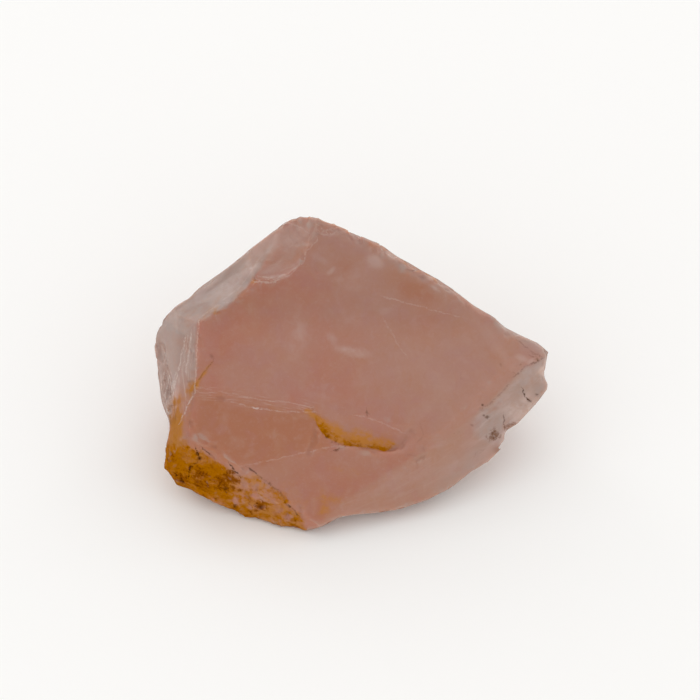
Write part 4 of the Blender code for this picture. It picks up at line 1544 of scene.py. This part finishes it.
    def drawn(self, sheet: Sheet, colour: Socket, feeds: dict[str, Socket]) -> Socket:
        """Draw the pale hairlines and the dirty cracks, wandering a little and broken up.

        Args:
            sheet: the material's tree.
            colour: what lies below.
            feeds: masks and noises by name.
        Returns:
            Socket of the colour.
        """
        wander = self.share(sheet, 1.0, feeds["rough"], Span(0.2, 0.8, -0.22, 0.22))
        for name, tint, width in (
            ("line", Tint.HAIRLINE_AND_HIGHLIGHT, self.line_width), ("dirt", Tint.DARK_RUST, self.crack_width),
        ):
            moved = sheet.add("ShaderNodeMath", {0: feeds[f"{name}_side"], 1: wander}, operation="ADD")
            away = sheet.add("ShaderNodeMath", {0: moved}, operation="ABSOLUTE")
            whole = self.share(sheet, feeds[name], away, Span(width, 0.3 * width))
            broken = self.share(sheet, whole, feeds["fleck"], Span(0.40, 0.56, 0.12, 1.0))
            colour = self.over(sheet, colour, tint, broken)
        return colour

    def bumps(self, sheet: Sheet, feeds: dict[str, Socket]) -> Socket:
        """Raise the grain, the crust and the streaks, one upon another.

        Args:
            sheet: the material's tree.
            feeds: masks and noises by name.
        Returns:
            Socket of the bent normal.
        """
        normal: dict[str, Socket] = {}
        for noise, mask, strength, height_mm in (
            ("grain", 1.0, 0.25, 0.12), ("rough", feeds["crust"], 0.7, 0.7),
            ("streak", feeds["streaks"], 0.6, 0.3),
        ):
            height = sheet.add("ShaderNodeMath", {0: feeds[noise], 1: mask}, operation="MULTIPLY")
            inputs = {"Strength": strength, "Distance": height_mm * MM, "Height": height}
            normal = {"Normal": sheet.add("ShaderNodeBump", inputs | normal)}
        return normal["Normal"]

    def material(self, masks: tuple[str, ...]) -> bpy.types.Material:
        """Build the material.

        Args:
            masks: names of the masks on the mesh.
        Returns:
            The stone's material.
        """
        sheet = Sheet("rose_quartz")
        feeds = self.feeds(sheet, masks)
        colour = self.laid(sheet, linear(Tint.ROSE.value), STONE_LAYERS, feeds)
        colour, soiled = self.rusted(sheet, colour, feeds)
        colour = self.laid(sheet, self.drawn(sheet, colour, feeds), TOP_LAYERS, feeds)
        matt = self.share(sheet, 1.0, soiled, Span(0.1, 1.0, 0.0, 0.32))
        glossy = Span(0.3, 0.7, self.roughness - 0.08, self.roughness + 0.10)
        uneven = self.share(sheet, 1.0, feeds["rough"], glossy)
        edges = sheet.add("ShaderNodeMath", {0: feeds["edge"], 1: feeds["outline"]}, operation="MAXIMUM")
        whole = self.share(sheet, 1.0, edges, Span(0.0, 1.0, 1.0, 0.2))
        thick = self.share(sheet, 1.0, feeds["outline"], Span(0.0, 0.7, 1.0, 0.25))
        shader = sheet.add("ShaderNodeBsdfPrincipled", {
            "Base Color": colour, "IOR": self.refraction, "Normal": self.bumps(sheet, feeds),
            "Roughness": sheet.add("ShaderNodeMath", {0: uneven, 1: matt}, operation="ADD"),
            "Specular IOR Level": 0.0, "Coat Roughness": self.coat_roughness,
            "Coat IOR": self.coat_refraction,
            "Coat Weight": self.share(sheet, whole, soiled, Span(0.1, 0.7, 0.75, 0.0)),
            "Subsurface Weight": self.share(sheet, thick, soiled, Span(0.2, 0.9, 0.9, 0.12)),
            "Subsurface Radius": self.scatter_spread, "Subsurface Scale": self.scatter_mm * MM,
        }, subsurface_method="RANDOM_WALK")
        sheet.add("ShaderNodeOutputMaterial", {"Surface": shader})
        return sheet.material


@dataclass(frozen=True)
class FloorPaper:
    """Matt white backdrop paper, rolled and uncoated, which shows no sheen."""

    tone: str = "#f6f5f3"
    roughness: float = 0.9
    specular: float = 0.1

    def material(self) -> bpy.types.Material:
        """Build the material.

        Returns:
            The paper's material.
        """
        sheet = Sheet("floor_paper")
        shader = sheet.add("ShaderNodeBsdfPrincipled", {
            "Base Color": linear(self.tone), "Roughness": self.roughness, "Specular IOR Level": self.specular,
        })
        sheet.add("ShaderNodeOutputMaterial", {"Surface": shader})
        return sheet.material


@dataclass
class Chunk:
    """The whole stone: its refined surface, its paint and its material."""

    surface: StoneSurface
    paint: StonePaint
    finish: RoseQuartz

    def build(self) -> bpy.types.Object:
        """Make, paint and dress the stone, and set it in the solid's place.

        Returns:
            The finished stone.
        """
        stone, at = self.surface.build()
        stone.data.materials.append(self.finish.material(self.paint.apply(stone, at)))
        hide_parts(NODE)
        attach(stone, "root")
        return stone


@dataclass(frozen=True)
class Softbox:
    """A round soft lamp: its name, place and width in metres, and its power in watts."""

    name: str
    place: tuple[float, float, float]
    width: float
    power: float


@dataclass
class Studio:
    """Pale floor, plain soft light and the camera."""

    floor_half: float = 3.0
    paper: FloorPaper = FloorPaper()
    sky_tone: str = "#ffffff"
    sky_strength: float = 1.03
    softboxes: tuple[Softbox, ...] = (
        Softbox("key", (-0.75, 0.75, 0.55), 0.45, 0.7),
        Softbox("rim", (0.75, 0.75, 0.60), 0.35, 0.25),
    )
    lit_height: float = 0.015
    camera_distance: float = 1.3
    sensor_mm: float = 36.0
    frame_width: float = 0.12343
    aim: tuple[float, float, float] = (0.0, 4.58, 0.0)
    horizon: float = 20.0

    def floor(self) -> None:
        """Lay a flat pale floor under the stone."""
        half = self.floor_half
        mesh = bpy.data.meshes.new("floor")
        corners = [(-half, -half, 0.0), (half, -half, 0.0), (half, half, 0.0), (-half, half, 0.0)]
        mesh.from_pydata(corners, [], [(0, 1, 2, 3)])
        mesh.materials.append(self.paper.material())
        floor = bpy.data.objects.new("floor", mesh)
        bpy.context.scene.collection.objects.link(floor)

    def light(self) -> None:
        """Even pale sky and two soft lamps behind the stone that skim its upper faces."""
        world = bpy.data.worlds.new("sky")
        bpy.context.scene.world = world
        world.use_nodes = True
        background = world.node_tree.nodes["Background"]
        background.inputs["Color"].default_value = linear(self.sky_tone)
        background.inputs["Strength"].default_value = self.sky_strength
        for softbox in self.softboxes:
            lamp = bpy.data.lights.new(softbox.name, "AREA")
            lamp.shape = "DISK"
            lamp.size = softbox.width
            lamp.energy = softbox.power
            box = bpy.data.objects.new(softbox.name, lamp)
            box.location = softbox.place
            down = Vector((0.0, 0.0, self.lit_height)) - box.location
            box.rotation_euler = down.to_track_quat("-Z", "Y").to_euler()
            bpy.context.scene.collection.objects.link(box)
        bpy.context.scene.view_settings.view_transform = "Standard"

    def camera(self) -> None:
        """Long lens looking down on the main face, so far off that lines stay parallel."""
        lens = bpy.data.cameras.new("camera")
        lens.sensor_width = self.sensor_mm
        lens.lens = self.sensor_mm * self.camera_distance / self.frame_width
        lens.clip_end = self.horizon
        camera = bpy.data.objects.new("camera", lens)
        towards = Vector(VIEW.towards())
        camera.location = VIEW.place(*self.aim) + towards * self.camera_distance
        camera.rotation_euler = (-towards).to_track_quat("-Z", "Y").to_euler()
        bpy.context.scene.collection.objects.link(camera)
        bpy.context.scene.camera = camera

    def build(self) -> None:
        """Set up the floor, the light and the camera."""
        self.floor()
        self.light()
        self.camera()


def main() -> None:
    """Build the stone and the studio, and report each."""
    logging.basicConfig(level=logging.INFO, format="%(name)s: %(message)s")
    stone = Chunk(StoneSurface(), StonePaint(), RoseQuartz()).build()
    LOG.info("built %s", stone.name)
    Studio().build()
    LOG.info("built the studio")


if __name__ == "__main__":
    main()
